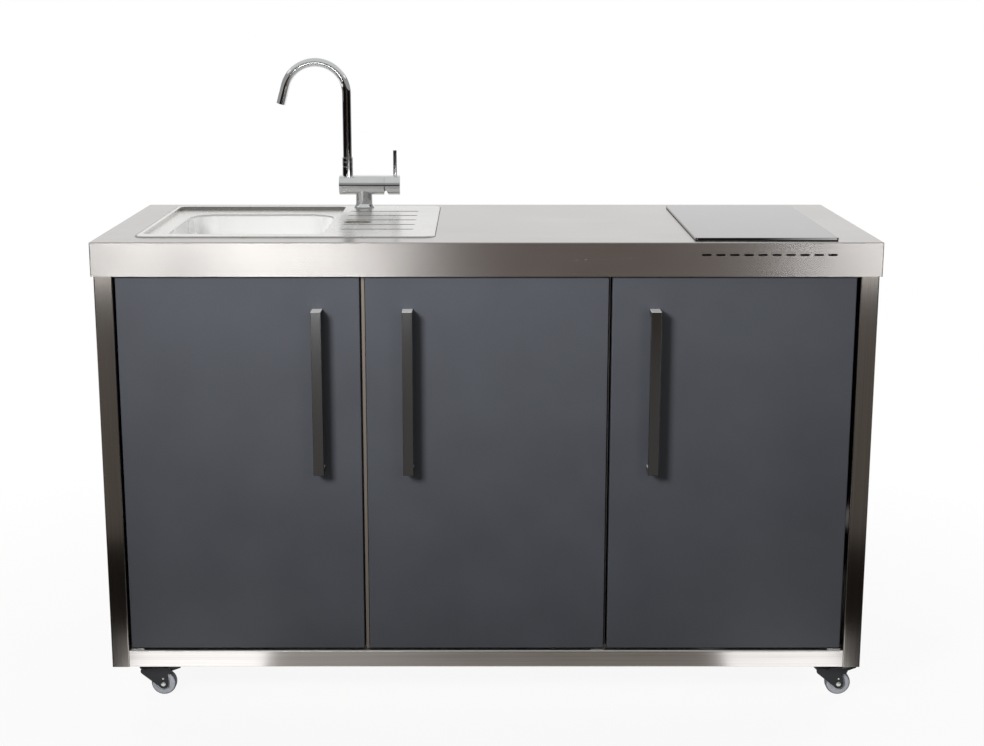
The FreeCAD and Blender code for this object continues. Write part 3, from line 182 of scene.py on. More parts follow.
def powder_coat(name, light, dark, roughness):
    """Baked powder coat: an even colour with a fine pebbled skin and a soft shine."""
    material, tree, place = new_material(name)
    skin = add(tree, "TexNoise", {"Vector": place, "Scale": 1 / powder_grain, "Detail": 2.0}).outputs["Fac"]
    cloud = add(tree, "TexNoise", {"Vector": place, "Scale": 1 / coat_cloud, "Detail": 3.0}).outputs["Fac"]
    mixed = add(tree, "Math", {0: skin, 1: cloud}, operation="ADD").outputs["Value"]
    tone = add(tree, "MapRange", {"Value": mixed, "From Min": 0.7, "From Max": 1.3}).outputs["Result"]
    colour = add(tree, "MixRGB", {
        "Fac": tone, "Color1": linear(dark), "Color2": linear(light)}).outputs["Color"]
    shine = add(tree, "MapRange", {
        "Value": cloud, "To Min": roughness - coat_shine_spread, "To Max": roughness + coat_shine_spread})
    relief = add(tree, "Bump", {"Height": skin, "Strength": 0.3, "Distance": powder_relief}).outputs["Normal"]
    shader = add(tree, "BsdfPrincipled", {
        "Base Color": colour, "Roughness": shine.outputs["Result"], "Normal": relief, "IOR": 1.5,
        "Specular IOR Level": 0.3})
    add(tree, "OutputMaterial", {"Surface": shader.outputs["BSDF"]})
    return material


anthracite = powder_coat("anthracite powder coat", anthracite_light, anthracite_dark, coat_roughness)
coat(anthracite, "side_panel_left", "side_panel_right", "rear_panel")


# Panel rivets
# Blind rivets of zinc plated steel hold the panels to the frame, set from outside in even rows near the
# edges. Pulling the pin leaves each with a low round head.

bolt_light = "#d6d8d6"
bolt_dark = "#b3b5b0"
bolt_roughness = 0.25
rivet_radius = 0.0042
rivet_height = 0.0012
rivet_inset = 0.013
apron_overlap = 0.029
rivet_rows = 5
rear_columns = 10
side_columns = 4
# How far out, and how wide, each step of the spun dome stands, as shares of its height and radius.
dome_step_shares = ((0.35, 0.97), (0.72, 0.8), (0.93, 0.5), (1.0, 0.2))
dome_sides = 24
# Edges flatter than this many degrees are shaded as one curve.
dome_smooth_angle = 50
# The satin is finer than 0.2 mm; it is drawn 2.5 mm wide so that it shows.
satin_grain = 0.0025
satin_relief = 0.00004
satin_shine_spread = 0.06
# Its tone drifts in clouds an eleventh of a metre wide.
satin_cloud = 1 / 11


def satin_metal(name, light, dark, roughness):
    """Bare metal with a soft even satin: small cloudy changes of tone and shine."""
    material, tree, place = new_material(name)
    satin = add(tree, "TexNoise", {"Vector": place, "Scale": 1 / satin_grain, "Detail": 3.0}).outputs["Fac"]
    cloud = add(tree, "TexNoise", {"Vector": place, "Scale": 1 / satin_cloud, "Detail": 3.0}).outputs["Fac"]
    colour = add(tree, "MixRGB", {
        "Fac": cloud, "Color1": linear(dark), "Color2": linear(light)}).outputs["Color"]
    shine = add(tree, "MapRange", {
        "Value": satin, "To Min": roughness - satin_shine_spread, "To Max": roughness + satin_shine_spread})
    relief = add(tree, "Bump", {"Height": satin, "Strength": 0.2, "Distance": satin_relief}).outputs["Normal"]
    shader = add(tree, "BsdfPrincipled", {
        "Base Color": colour, "Metallic": 1.0, "Roughness": shine.outputs["Result"], "Normal": relief})
    add(tree, "OutputMaterial", {"Surface": shader.outputs["BSDF"]})
    return material


zinc_plate = satin_metal("bright zinc plate", bolt_light, bolt_dark, bolt_roughness)


def spun_head(name, radius, height):
    """A domed head of zinc plated steel at the origin that stands out toward the front."""
    bpy.ops.mesh.primitive_circle_add(
        vertices=dome_sides, radius=radius, fill_type="NGON", location=(0, 0, 0))
    head = bpy.context.object
    head.name = name
    bpy.ops.object.mode_set(mode="EDIT")
    bpy.ops.mesh.select_all(action="SELECT")
    rise, width = 0.0, 1.0
    for rise_share, width_share in dome_step_shares:
        lift, taper = (rise_share - rise) * height, width_share / width
        bpy.ops.mesh.extrude_region_move(TRANSFORM_OT_translate={"value": (0, 0, lift)})
        bpy.ops.transform.resize(value=(taper, taper, 1), center_override=(0, 0, 0))
        rise, width = rise_share, width_share
    bpy.ops.mesh.select_all(action="SELECT")
    bpy.ops.mesh.normals_make_consistent(inside=False)
    bpy.ops.object.mode_set(mode="OBJECT")
    head.rotation_euler = (math.radians(90), 0, 0)
    bpy.ops.object.transform_apply(location=True, rotation=True, scale=True)
    bpy.ops.object.shade_smooth_by_angle(angle=math.radians(dome_smooth_angle))
    head.data.materials.append(zinc_plate)
    return head


def placed_copy(piece, name, place, turn=0.0):
    """Copy a piece with its own mesh, turn it about the upright and bring it to its place."""
    bpy.ops.object.select_all(action="DESELECT")
    piece.select_set(True)
    bpy.context.view_layer.objects.active = piece
    bpy.ops.object.duplicate(linked=False)
    copy = bpy.context.object
    copy.name = name
    copy.location = place
    copy.rotation_euler = (0, 0, turn)
    bpy.ops.object.transform_apply(location=True, rotation=True, scale=True)
    return copy


def border(columns, rows):
    """The shares across and up at which a grid touches its border."""
    grid = [(column / (columns - 1), row / (rows - 1)) for column in range(columns) for row in range(rows)]
    return [spot for spot in grid if 0 in spot or 1 in spot]


rivet = spun_head("panel_rivet", rivet_radius, rivet_height)
# Each panel with its columns of rivets, the axis that it faces along, whether its outside is the low (0) or
# the high (1) end of its box, and the turn that points a rivet outwards.
panels = (
    ("rear_panel", rear_columns, 1, 1, math.pi),
    ("side_panel_left", side_columns, 0, 0, -math.pi / 2),
    ("side_panel_right", side_columns, 0, 1, math.pi / 2))
for panel, columns, axis, outward, turn in panels:
    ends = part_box(panel)
    along = 1 - axis
    foot, head = ends[0][2] + rivet_inset, ends[1][2] - apron_overlap - rivet_inset
    left, right = ends[0][along] + rivet_inset, ends[1][along] - rivet_inset
    for count, (across, up) in enumerate(border(columns, rivet_rows)):
        spot = [0.0, 0.0, foot + up * (head - foot)]
        spot[axis] = ends[outward][axis]
        spot[along] = left + across * (right - left)
        piece = placed_copy(rivet, "%s_rivet_%d" % (panel, count), spot, turn)
        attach(piece, "unit")
bpy.data.objects.remove(rivet)


# Worktop
# The worktop is one pan folded from 1.5 mm stainless sheet, with a deep apron all round and a row of
# ten vent slots punched in front of the hob. It is brushed from end to end.

worktop_light = "#cecbc9"
worktop_dark = "#c2bebb"
worktop_roughness = 0.25

worktop_steel = brushed_steel(
    "brushed worktop steel", worktop_light, worktop_dark, sideways, worktop_roughness)
coat(worktop_steel, "worktop")


# Sink
# Tray, bowl and drainer are one pressing of 0.8 mm stainless steel. The press leaves it bright and
# satin, with no grain that runs one way.

tray_tone = "#dbdad7"
# The walls of the tray that face the front are painted in this darker tone: painted shade.
fold_painted_shade = "#a09e9b"
# The bowl is painted paler than the tray: painted light. The waste and basket share this tone.
bowl_tone = "#eeeeed"
sink_roughness = 0.27
tray_metallic = 0.85
bowl_metallic = 0.55
# Depths below the rim: where the tray's finish ends, and where the bowl's paler, less metallic finish is
# full; its paler colour is painted light.
tray_depth = 0.008
bowl_start = 0.012
# How far a wall leans toward the front where the painted shade on the folds starts, and where it is full.
painted_shade_start = -0.3
painted_shade_full = -0.8
# The shine drifts in clouds a ninth of a metre wide.
sink_cloud = 1 / 9
sink_shine_spread = 0.03


def pressed_sheet(name, tray, fold_shade_colour, bowl, roughness, top):
    """Pressed satin steel: an even tray with painted shade on walls that face the front, and a bowl painted
    paler as painted light.
    """
    material, tree, place = new_material(name)
    satin = add(tree, "TexNoise", {"Vector": place, "Scale": 1 / satin_grain, "Detail": 2.0}).outputs["Fac"]
    cloud = add(tree, "TexNoise", {"Vector": place, "Scale": 1 / sink_cloud, "Detail": 2.0}).outputs["Fac"]
    height = add(tree, "SeparateXYZ", {"Vector": place}).outputs["Z"]
    facing = add(tree, "SeparateXYZ", {"Vector": add(tree, "NewGeometry").outputs["Normal"]}).outputs["Y"]
    painted_shade_share = add(tree, "MapRange", {
        "Value": facing, "From Min": painted_shade_start, "From Max": painted_shade_full}).outputs["Result"]
    deep = add(tree, "MapRange", {
        "Value": height, "From Min": top - tray_depth, "From Max": top - bowl_start}).outputs["Result"]
    flat = add(tree, "MixRGB", {
        "Fac": painted_shade_share, "Color1": linear(tray), "Color2": linear(fold_shade_colour)}).outputs["Color"]
    colour = add(tree, "MixRGB", {"Fac": deep, "Color1": flat, "Color2": linear(bowl)}).outputs["Color"]
    metal = add(tree, "MapRange", {"Value": deep, "To Min": tray_metallic, "To Max": bowl_metallic})
    shine = add(tree, "MapRange", {
        "Value": cloud, "To Min": roughness - sink_shine_spread, "To Max": roughness + sink_shine_spread})
    relief = add(tree, "Bump", {
        "Height": satin, "Strength": 0.04, "Distance": satin_relief}).outputs["Normal"]
    shader = add(tree, "BsdfPrincipled", {
        "Base Color": colour, "Metallic": metal.outputs["Result"], "Roughness": shine.outputs["Result"],
        "Normal": relief})
    add(tree, "OutputMaterial", {"Surface": shader.outputs["BSDF"]})
    return material


rim_low, rim_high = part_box("sink")
pressed_steel = pressed_sheet(
    "pressed satin steel", tray_tone, fold_painted_shade, bowl_tone, sink_roughness, rim_high[2])
coat(pressed_steel, "sink")
turned_steel = satin_metal("turned stainless steel", bowl_tone, tray_tone, sink_roughness)
coat(turned_steel, "sink_waste", "strainer_basket")


# Sink seal
# A bead of grey sealant runs round the sink. It is squeezed out when the clips below pull the rim down
# on the worktop, and wiped to a thin even line.

# The bead is partly painted shade: its dark grey line also stands in for the shadow under the sink's rim.
bead_reach = 0.0007
bead_tuck = 0.0006
bead_height = 0.0008
bead_corner_steps = 10
rim_corner = 0.025
bead_light = "#656361"
bead_dark = "#545250"
bead_roughness = 0.5
# Plastic flows into its mould in faint marks 40 mm wide, over a skin of 4 mm ripples.
flow_mark = 0.04
plastic_ripple = 0.004
plastic_relief = 0.00006
plastic_shine_spread = 0.06

worktop_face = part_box("worktop")[1][2]
bpy.ops.mesh.primitive_plane_add(size=1.0, location=(
    (rim_low[0] + rim_high[0]) / 2, (rim_low[1] + rim_high[1]) / 2, worktop_face))
sink_bead = bpy.context.object
sink_bead.name = "sink_seal_bead"
sink_bead.scale = (
    rim_high[0] - rim_low[0] + 2 * bead_reach, rim_high[1] - rim_low[1] + 2 * bead_reach, 1.0)
bpy.ops.object.transform_apply(location=True, rotation=True, scale=True)
bpy.ops.object.mode_set(mode="EDIT")
bpy.ops.mesh.select_all(action="SELECT")
bpy.ops.mesh.bevel(offset=rim_corner + bead_reach, segments=bead_corner_steps, affect="VERTICES")
bpy.ops.mesh.select_all(action="SELECT")
bpy.ops.mesh.inset(thickness=bead_reach + bead_tuck)
bpy.ops.mesh.delete(type="FACE")
bpy.ops.mesh.select_all(action="SELECT")
bpy.ops.mesh.extrude_region_move(TRANSFORM_OT_translate={"value": (0, 0, bead_height)})
bpy.ops.mesh.select_all(action="SELECT")
bpy.ops.mesh.normals_make_consistent(inside=False)
bpy.ops.object.mode_set(mode="OBJECT")


def moulded_plastic(name, light, dark, roughness):
    """Injection moulded plastic: nearly even, with faint flow marks and a low waxy shine."""
    material, tree, place = new_material(name)
    flow = add(tree, "TexNoise", {
        "Vector": place, "Scale": 1 / flow_mark, "Detail": 2.0, "Distortion": 1.5}).outputs["Fac"]
    ripple = add(tree, "TexNoise", {
        "Vector": place, "Scale": 1 / plastic_ripple, "Detail": 2.0}).outputs["Fac"]
    colour = add(tree, "MixRGB", {
        "Fac": flow, "Color1": linear(dark), "Color2": linear(light)}).outputs["Color"]
    shine = add(tree, "MapRange", {
        "Value": flow, "To Min": roughness - plastic_shine_spread,
        "To Max": roughness + plastic_shine_spread})
    relief = add(tree, "Bump", {
        "Height": ripple, "Strength": 0.2, "Distance": plastic_relief}).outputs["Normal"]
    shader = add(tree, "BsdfPrincipled", {
        "Base Color": colour, "Roughness": shine.outputs["Result"], "Normal": relief, "IOR": 1.49})
    add(tree, "OutputMaterial", {"Surface": shader.outputs["BSDF"]})
    return material


sealant = moulded_plastic("grey sealant", bead_light, bead_dark, bead_roughness)
sink_bead.data.materials.append(sealant)
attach(sink_bead, "unit")


# Bottle trap
# The trap under the bowl is moulded in white polypropylene and screwed up by hand. Its cup holds the
# water that keeps smells out.

trap_light = "#ecebe6"
trap_dark = "#dcdbd4"
trap_roughness = 0.42

trap_plastic = moulded_plastic("white polypropylene", trap_light, trap_dark, trap_roughness)
coat(trap_plastic, "bottle_trap")


# Mixer tap
# The tap is brass, cast and drawn, then polished and chrome plated: a mirror with a faint film of
# water marks. Its nut and stem stay bare brass and its cartridge is ceramic.

chrome_light = "#eceded"
chrome_dark = "#dcdedf"
chrome_roughness = 0.05
# Water dries on the chrome in marks a 22nd of a metre wide, which dull it a little.
water_mark = 1 / 22
water_dulling = 0.02
brass_light = "#cfae62"
brass_dark = "#a98741"
brass_roughness = 0.28
ceramic_light = "#f0eee8"
ceramic_dark = "#dedbd2"
ceramic_roughness = 0.2


def plated_chrome(name, light, dark, roughness):
    """Polished chrome plate: a clear mirror, a little clouded where water has dried."""
    material, tree, place = new_material(name)
    film = add(tree, "TexNoise", {"Vector": place, "Scale": 1 / water_mark, "Detail": 2.0}).outputs["Fac"]
    colour = add(tree, "MixRGB", {
        "Fac": film, "Color1": linear(dark), "Color2": linear(light)}).outputs["Color"]
    shine = add(tree, "MapRange", {
        "Value": film, "From Min": 0.45, "From Max": 0.75, "To Min": roughness,
        "To Max": roughness + water_dulling})
    shader = add(tree, "BsdfPrincipled", {
        "Base Color": colour, "Metallic": 1.0, "Roughness": shine.outputs["Result"]})
    add(tree, "OutputMaterial", {"Surface": shader.outputs["BSDF"]})
    return material


chrome = plated_chrome("polished chrome plate", chrome_light, chrome_dark, chrome_roughness)
coat(chrome, "tap_body", "tap_spout", "tap_collar", "tap_aerator", "tap_handle_cap", "tap_lever_pin")
turned_brass = satin_metal("turned brass", brass_light, brass_dark, brass_roughness)
coat(turned_brass, "tap_shank_nut", "mixer_stem")
fired_ceramic = moulded_plastic("fired ceramic", ceramic_light, ceramic_dark, ceramic_roughness)
coat(fired_ceramic, "tap_cartridge")


# Lever sleeve
# A chromed sleeve fills the hollow of the lever cap round the stem, so that water and light stay out
# of the gap that opens below the cap. It is pressed on the stem and turns with it.

sleeve_radius = 0.0138
sleeve_start = 0.0002
sleeve_length = 0.0118
sleeve_edge = 0.0008
sleeve_edge_steps = 3
sleeve_lip = 0.0035
sleeve_sides = 48
# A turned end looks squarely along the axis; the rounded edge beside it does not.
end_facing = 0.99
turned_smooth_angle = 30

cap_low, cap_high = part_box("tap_handle_cap")
sleeve_x = cap_low[0] + sleeve_start + sleeve_length / 2
cap_axis = ((cap_low[1] + cap_high[1]) / 2, (cap_low[2] + cap_high[2]) / 2)
bpy.ops.mesh.primitive_cylinder_add(
    vertices=sleeve_sides, radius=sleeve_radius, depth=sleeve_length, location=(sleeve_x, *cap_axis),
    rotation=(0, math.radians(90), 0))
lever_sleeve = bpy.context.object
lever_sleeve.name = "lever_sleeve"
bpy.ops.object.transform_apply(location=True, rotation=True, scale=True)


def pick_faces(piece, test):
    """Open a piece for editing with only the faces selected whose normal passes a test."""
    bpy.ops.object.mode_set(mode="EDIT")
    bpy.context.tool_settings.mesh_select_mode = (False, False, True)
    bpy.ops.mesh.select_all(action="DESELECT")
    bpy.ops.object.mode_set(mode="OBJECT")
    for face in piece.data.polygons:
        face.select = test(face.normal)
    bpy.ops.object.mode_set(mode="EDIT")


pick_faces(lever_sleeve, lambda normal: abs(normal.x) > end_facing)
bpy.ops.mesh.bevel(offset=sleeve_edge, segments=sleeve_edge_steps, affect="EDGES")
bpy.ops.object.mode_set(mode="OBJECT")
pick_faces(lever_sleeve, lambda normal: normal.x > end_facing)
bpy.ops.mesh.inset(thickness=sleeve_lip)
bpy.ops.mesh.extrude_region_move(TRANSFORM_OT_translate={"value": (-sleeve_lip, 0, 0)})
bpy.ops.object.mode_set(mode="OBJECT")
bpy.ops.object.shade_smooth_by_angle(angle=math.radians(turned_smooth_angle))
lever_sleeve.data.materials.append(chrome)
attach(lever_sleeve, "mixer")


# Collar bands
# Two bright bands stand a little proud of the collar that holds the spout in its socket. They are turned
# from the collar and plated with it.

band_places = (0.0095, 0.0182)
band_height = 0.0012
band_proud = 0.0006
band_bevel = 0.0003
band_sides = 64

collar_low, collar_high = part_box("tap_collar")
collar_x, collar_y = (collar_low[0] + collar_high[0]) / 2, (collar_low[1] + collar_high[1]) / 2
collar_radius = (collar_high[0] - collar_low[0]) / 2
bpy.ops.mesh.primitive_circle_add(vertices=band_sides, radius=collar_radius, location=(0, 0, 0))
band = bpy.context.object
bpy.ops.object.mode_set(mode="EDIT")
# A bare circle has no face to select, so its points are selected instead.
bpy.context.tool_settings.mesh_select_mode = (True, False, False)
bpy.ops.mesh.select_all(action="SELECT")
wider = (collar_radius + band_proud) / collar_radius
for rise, size in ((band_bevel, wider), (band_height, 1.0), (band_bevel, 1 / wider)):
    bpy.ops.mesh.extrude_region_move(TRANSFORM_OT_translate={"value": (0, 0, rise)})
    bpy.ops.transform.resize(value=(size, size, 1), center_override=(0, 0, 0))
bpy.ops.mesh.select_all(action="SELECT")
bpy.ops.mesh.normals_make_consistent(inside=False)
bpy.ops.object.mode_set(mode="OBJECT")
bpy.ops.object.shade_smooth_by_angle(angle=math.radians(turned_smooth_angle))
band.data.materials.append(chrome)
for count, height in enumerate(band_places):
    piece = placed_copy(band, "collar_band_%d" % count, (collar_x, collar_y, collar_low[2] + height))
    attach(piece, "spout")
bpy.data.objects.remove(band)


# Hob
# A sheet of black glass ceramic lies on a black silicone seal over a casing of galvanised sheet that
# hangs in the worktop. The glass is smooth and shows pale sky at a low angle.

glass_black = "#0d0e10"
glass_speck = "#26282b"
# The specks lie a 300th of a metre apart.
speck_pitch = 1 / 300
# As shares of that distance: how far out a speck is full, and where it has faded away.
speck_core = 0.12
speck_edge = 0.2
# A cloth leaves marks a ninth of a metre wide, which dull the glass.
wipe_mark = 1 / 9
glass_roughness = 0.03
wiped_roughness = 0.09
seal_light = "#1d1d1e"
seal_dark = "#121213"
seal_roughness = 0.6
zinc_light = "#c9cccd"
zinc_dark = "#9fa4a7"
zinc_roughness = 0.36
zinc_shine_spread = 0.08
# Hot-dip crystals are 8 to 20 mm across.
zinc_crystal = 0.012
# Each cooking zone is printed as one thin grey ring: its place along the glass as a share, and its radius.
zone_ring = "#8e9194"
zone_ring_width = 0.0012
zone_place_shares = (0.29, 0.73)
zone_radii = (0.09, 0.0725)

glass_low, glass_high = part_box("hob_glass")


def glass_ceramic(name, ground, speck):
    """Black glass ceramic: deep black with fine printed specks and rings under a clear hard surface."""
    material, tree, place = new_material(name)
    dots = add(tree, "TexVoronoi", {
        "Vector": place, "Scale": 1 / speck_pitch, "Randomness": 0.3}).outputs["Distance"]
    mark = add(tree, "MapRange", {
        "Value": dots, "From Min": speck_core, "From Max": speck_edge,
        "To Min": 1.0, "To Max": 0.0}).outputs["Result"]
    colour = add(tree, "MixRGB", {
        "Fac": mark, "Color1": linear(ground), "Color2": linear(speck)}).outputs["Color"]
    for share, radius in zip(zone_place_shares, zone_radii):
        along = glass_low[1] + share * (glass_high[1] - glass_low[1])
        middle = ((glass_low[0] + glass_high[0]) / 2, along, glass_high[2])
        reach = add(tree, "VectorMath", {0: place, 1: middle}, operation="DISTANCE").outputs["Value"]
        off = add(tree, "Math", {0: reach, 1: radius}, operation="SUBTRACT").outputs["Value"]
        inside = add(tree, "Math", {
            0: off, 1: 0.0, 2: zone_ring_width / 2}, operation="COMPARE").outputs["Value"]
        colour = add(tree, "MixRGB", {
            "Fac": inside, "Color1": colour, "Color2": linear(zone_ring)}).outputs["Color"]
    wiped = add(tree, "TexNoise", {"Vector": place, "Scale": 1 / wipe_mark, "Detail": 3.0}).outputs["Fac"]
    shine = add(tree, "MapRange", {
        "Value": wiped, "To Min": glass_roughness, "To Max": wiped_roughness}).outputs["Result"]
    shader = add(tree, "BsdfPrincipled", {
        "Base Color": colour, "Roughness": shine, "IOR": 1.54, "Coat Weight": 0.25, "Coat Roughness": 0.04})
    add(tree, "OutputMaterial", {"Surface": shader.outputs["BSDF"]})
    return material


def galvanised(name, light, dark, roughness, crystal):
    """Hot-dip zinc: flat crystals that each catch the light in their own way."""
    material, tree, place = new_material(name)
    flakes = add(tree, "TexVoronoi", {"Vector": place, "Scale": 1 / crystal}).outputs["Color"]
    shade = add(tree, "SeparateColor", {"Color": flakes}).outputs["Red"]
    colour = add(tree, "MixRGB", {
        "Fac": shade, "Color1": linear(dark), "Color2": linear(light)}).outputs["Color"]
    shine = add(tree, "MapRange", {
        "Value": shade, "To Min": roughness - zinc_shine_spread, "To Max": roughness + zinc_shine_spread})
    shader = add(tree, "BsdfPrincipled", {
        "Base Color": colour, "Metallic": 1.0, "Roughness": shine.outputs["Result"]})
    add(tree, "OutputMaterial", {"Surface": shader.outputs["BSDF"]})
    return material


hob_ceramic = glass_ceramic("black glass ceramic", glass_black, glass_speck)
coat(hob_ceramic, "hob_glass")
silicone = moulded_plastic("black silicone rubber", seal_light, seal_dark, seal_roughness)
coat(silicone, "hob_seal", "service_grommet")
zinc_sheet = galvanised("galvanised sheet", zinc_light, zinc_dark, zinc_roughness, zinc_crystal)
coat(zinc_sheet, "hob_casing")


# Doors
# Each door is a folded skin of steel sheet over a lighter folded liner, both in anthracite powder coat,
# with pivot blocks welded in the liner's corners. The bar handle is square brushed steel, screwed on, and
# the brackets that carry the doors' pivots are zinc plated.

handle_light = "#7a7b7c"
handle_dark = "#696a6b"
handle_roughness = 0.17
# Faces that look up are painted this near white: a painted highlight where the overhead lamp falls.
handle_top_highlight = "#f4f4f2"
# The painted highlight on the upper ends is mostly diffuse, so it is hardly a mirror.
highlight_metallic = 0.2
# How squarely a face looks up where the painted highlight starts, and where it is full.
highlight_start = 0.5
highlight_full = 0.8
# The bar's grain is finer than a tenth of a millimetre; its lines are drawn about 1 mm wide and 83 mm long.
bar_line_width = 1 / 900
bar_line_length = 1 / 12


def brushed_bar(name, light, dark, end, roughness):
    """Square bar brushed along its length in a fine even grain, with a painted highlight: faces that look up
    are painted pale and matt.
    """
    material, tree, place = new_material(name)
    scale = (1 / bar_line_width, 1 / bar_line_width, 1 / bar_line_length)
    drawn = add(tree, "Mapping", {"Vector": place, "Scale": scale}).outputs["Vector"]
    lines = add(tree, "TexNoise", {"Vector": drawn, "Scale": 1.0, "Detail": 3.0}).outputs["Fac"]
    side = add(tree, "MixRGB", {
        "Fac": lines, "Color1": linear(dark), "Color2": linear(light)}).outputs["Color"]
    level = add(tree, "SeparateXYZ", {"Vector": add(tree, "NewGeometry").outputs["Normal"]}).outputs["Z"]
    # The painted highlight's share: full on faces that look up.
    cut = add(tree, "MapRange", {
        "Value": level, "From Min": highlight_start, "From Max": highlight_full}).outputs["Result"]
    colour = add(tree, "MixRGB", {"Fac": cut, "Color1": side, "Color2": linear(end)}).outputs["Color"]
    metal = add(tree, "MapRange", {"Value": cut, "To Min": 1.0, "To Max": highlight_metallic}).outputs["Result"]
    relief = add(tree, "Bump", {"Height": lines, "Strength": 0.1, "Distance": belt_relief}).outputs["Normal"]
    shader = add(tree, "BsdfPrincipled", {
        "Base Color": colour, "Metallic": metal, "Roughness": roughness, "Normal": relief})
    add(tree, "OutputMaterial", {"Surface": shader.outputs["BSDF"]})
    return material


handle_steel = brushed_bar("brushed handle steel", handle_light, handle_dark, handle_top_highlight, handle_roughness)
for side in ("left", "middle", "right"):
    coat(anthracite, "door_" + side + "_skin", "door_" + side + "_liner")
    coat(handle_steel, "door_" + side + "_handle")
coat(zinc_plate, "pivot_brackets")


# Castors
# A black-coated pressed steel fork turns under a bolted plate. The wheel is a grey nylon core with a
# grey rubber tread, and the front pair have a pedal that brakes them.

black_coat_light = "#34353a"
black_coat_dark = "#26272b"
black_coat_roughness = 0.4
nylon_light = "#e6e9f0"
nylon_dark = "#d3d7e0"
nylon_roughness = 0.4
wall_light = "#dfe3ec"
tread_dark = "#4d5058"
tread_roughness = 0.6
tread_relief = 0.0001
# How squarely a face looks along the axle at rest where the pale side wall starts, and where it is full.
side_wall_start = 0.8
side_wall_full = 0.98
# Dust clings to the rubber in patches a 120th of a metre wide and hides a little of its colour.
dust_patch = 1 / 120
dust_cover = 0.12


def wheel_rubber(name, side, tread, roughness):
    """Grey rubber, pale on faces that look along the room's front-back axis and darker on the tread."""
    material, tree, place = new_material(name)
    facing = add(tree, "SeparateXYZ", {"Vector": add(tree, "NewGeometry").outputs["Normal"]}).outputs["Y"]
    flat = add(tree, "Math", {0: facing}, operation="ABSOLUTE").outputs["Value"]
    dust = add(tree, "TexNoise", {"Vector": place, "Scale": 1 / dust_patch, "Detail": 3.0}).outputs["Fac"]
    edge = add(tree, "MapRange", {
        "Value": flat, "From Min": side_wall_start, "From Max": side_wall_full}).outputs["Result"]
    tone = add(tree, "MixRGB", {
        "Fac": edge, "Color1": linear(tread), "Color2": linear(side)}).outputs["Color"]
    colour = add(tree, "MixRGB", {"Fac": dust_cover, "Color1": tone, "Color2": dust}).outputs["Color"]
    relief = add(tree, "Bump", {"Height": dust, "Strength": 0.2, "Distance": tread_relief}).outputs["Normal"]
    shader = add(tree, "BsdfPrincipled", {
        "Base Color": colour, "Roughness": roughness, "Normal": relief, "IOR": 1.5})
    add(tree, "OutputMaterial", {"Surface": shader.outputs["BSDF"]})
    return material


black_steel = powder_coat("black coated steel", black_coat_light, black_coat_dark, black_coat_roughness)
nylon = moulded_plastic("grey nylon", nylon_light, nylon_dark, nylon_roughness)
tread_rubber = wheel_rubber("grey wheel rubber", wall_light, tread_dark, tread_roughness)
coat(black_steel, "castor_plates", "brake_pedal_front_left", "brake_pedal_front_right")
coat(zinc_plate, "castor_bolts")
for corner in corners:
    coat(black_steel, "castor_fork_" + corner)
    coat(nylon, "castor_hub_" + corner)
    coat(tread_rubber, "castor_tyre_" + corner)


# Axle rivets
# Each axle ends in a zinc plated rivet head, spun down over the fork leg, with a small pin above it that
# holds the brake spring.

axle_head_radius = 0.0052
axle_head_height = 0.0032
spring_pin_radius = 0.0022
spring_pin_height = 0.0012
spring_pin_rise = 0.0112
fork_leg_outside = 0.014

axle_head = spun_head("axle_head", axle_head_radius, axle_head_height)
spring_pin = spun_head("spring_pin", spring_pin_radius, spring_pin_height)
for corner in corners:
    hub_low, hub_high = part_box("castor_hub_" + corner)
    axle_x, axle_y, axle_z = [(low + high) / 2 for low, high in zip(hub_low, hub_high)]
    for face, turn in ((-1, 0.0), (1, math.pi)):
        leg_y = axle_y + face * fork_leg_outside
        for pattern, rise in ((axle_head, 0.0), (spring_pin, spring_pin_rise)):
            name = "%s_%s_%s" % (pattern.name, corner, "front" if face < 0 else "back")
            piece = placed_copy(pattern, name, (axle_x, leg_y, axle_z + rise), turn)
            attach(piece, "castor_" + corner)
bpy.data.objects.remove(axle_head)
bpy.data.objects.remove(spring_pin)


# Studio
# A pale floor runs past the object on every side. The main lamp stands high at the left, weaker ones at
# the right, overhead and behind. As in a product studio, boards out of view give bright metal something to
# mirror: dark ones with lit ones between.

floor_half = 12.0
floor_white = "#f6f6f4"
floor_dull = "#646463"
# Near the unit nine tenths of the floor's white is glow, and the rest catches shadows. Between these two
# distances from the middle, in metres, the glow rises to the whole.
glow_near = 0.9
glow_start = 0.6
glow_end = 1.8
white = "#ffffff"
ambient = 0.05
board_black = "#0e0e10"
board_brown = "#4f3f36"
board_floor = "#6c655e"
board_near = "#2a2623"
board_far = "#85807b"
board_grey = "#d4d4d4"
board_edge = "#9c9c9c"
# Edges of the boards on the floor and overhead, in metres from the unit's middle. The strip close to the
# unit holds two low lit boards: both end at the same distance outside, and each has its own inner edge.
board_lift = 0.004
board_side = 3.4
far_front = -5.0
near_front = -1.3
strip_front = -0.66
strip_back = -0.34
low_outside = 0.76
low_left = -0.46
low_right = 0.5
low_glow = 1.6
ceiling_front = -4.4
ceiling_back = 2.0
# A ring of wall boards stands round the unit, open behind. Its angles count from straight in front, in
# degrees: how far the ring reaches each way, and how far its low boards are black.
wall_radius = 4.6
wall_height = 3.6
wall_split = 1.5
wall_reach = 150
wall_dark_reach = 115
wall_panels = 16
# Two lit boards stand behind the camera, each dark at its inner edge and its foot and full further on, and
# a brown board behind them closes the space between.
lit_line = -3.9
lit_foot = 0.3
lit_even = 0.44
lit_head = 0.545
left_glow = 13.9
left_outside = -1.7
left_dark_edge = -0.14
left_full_edge = -0.57
right_glow = 13.2
right_outside = 2.4
right_dark_edge = 1.15
right_full_edge = 1.583
brown_line = -4.0
brown_left = -0.33
brown_right = 1.25


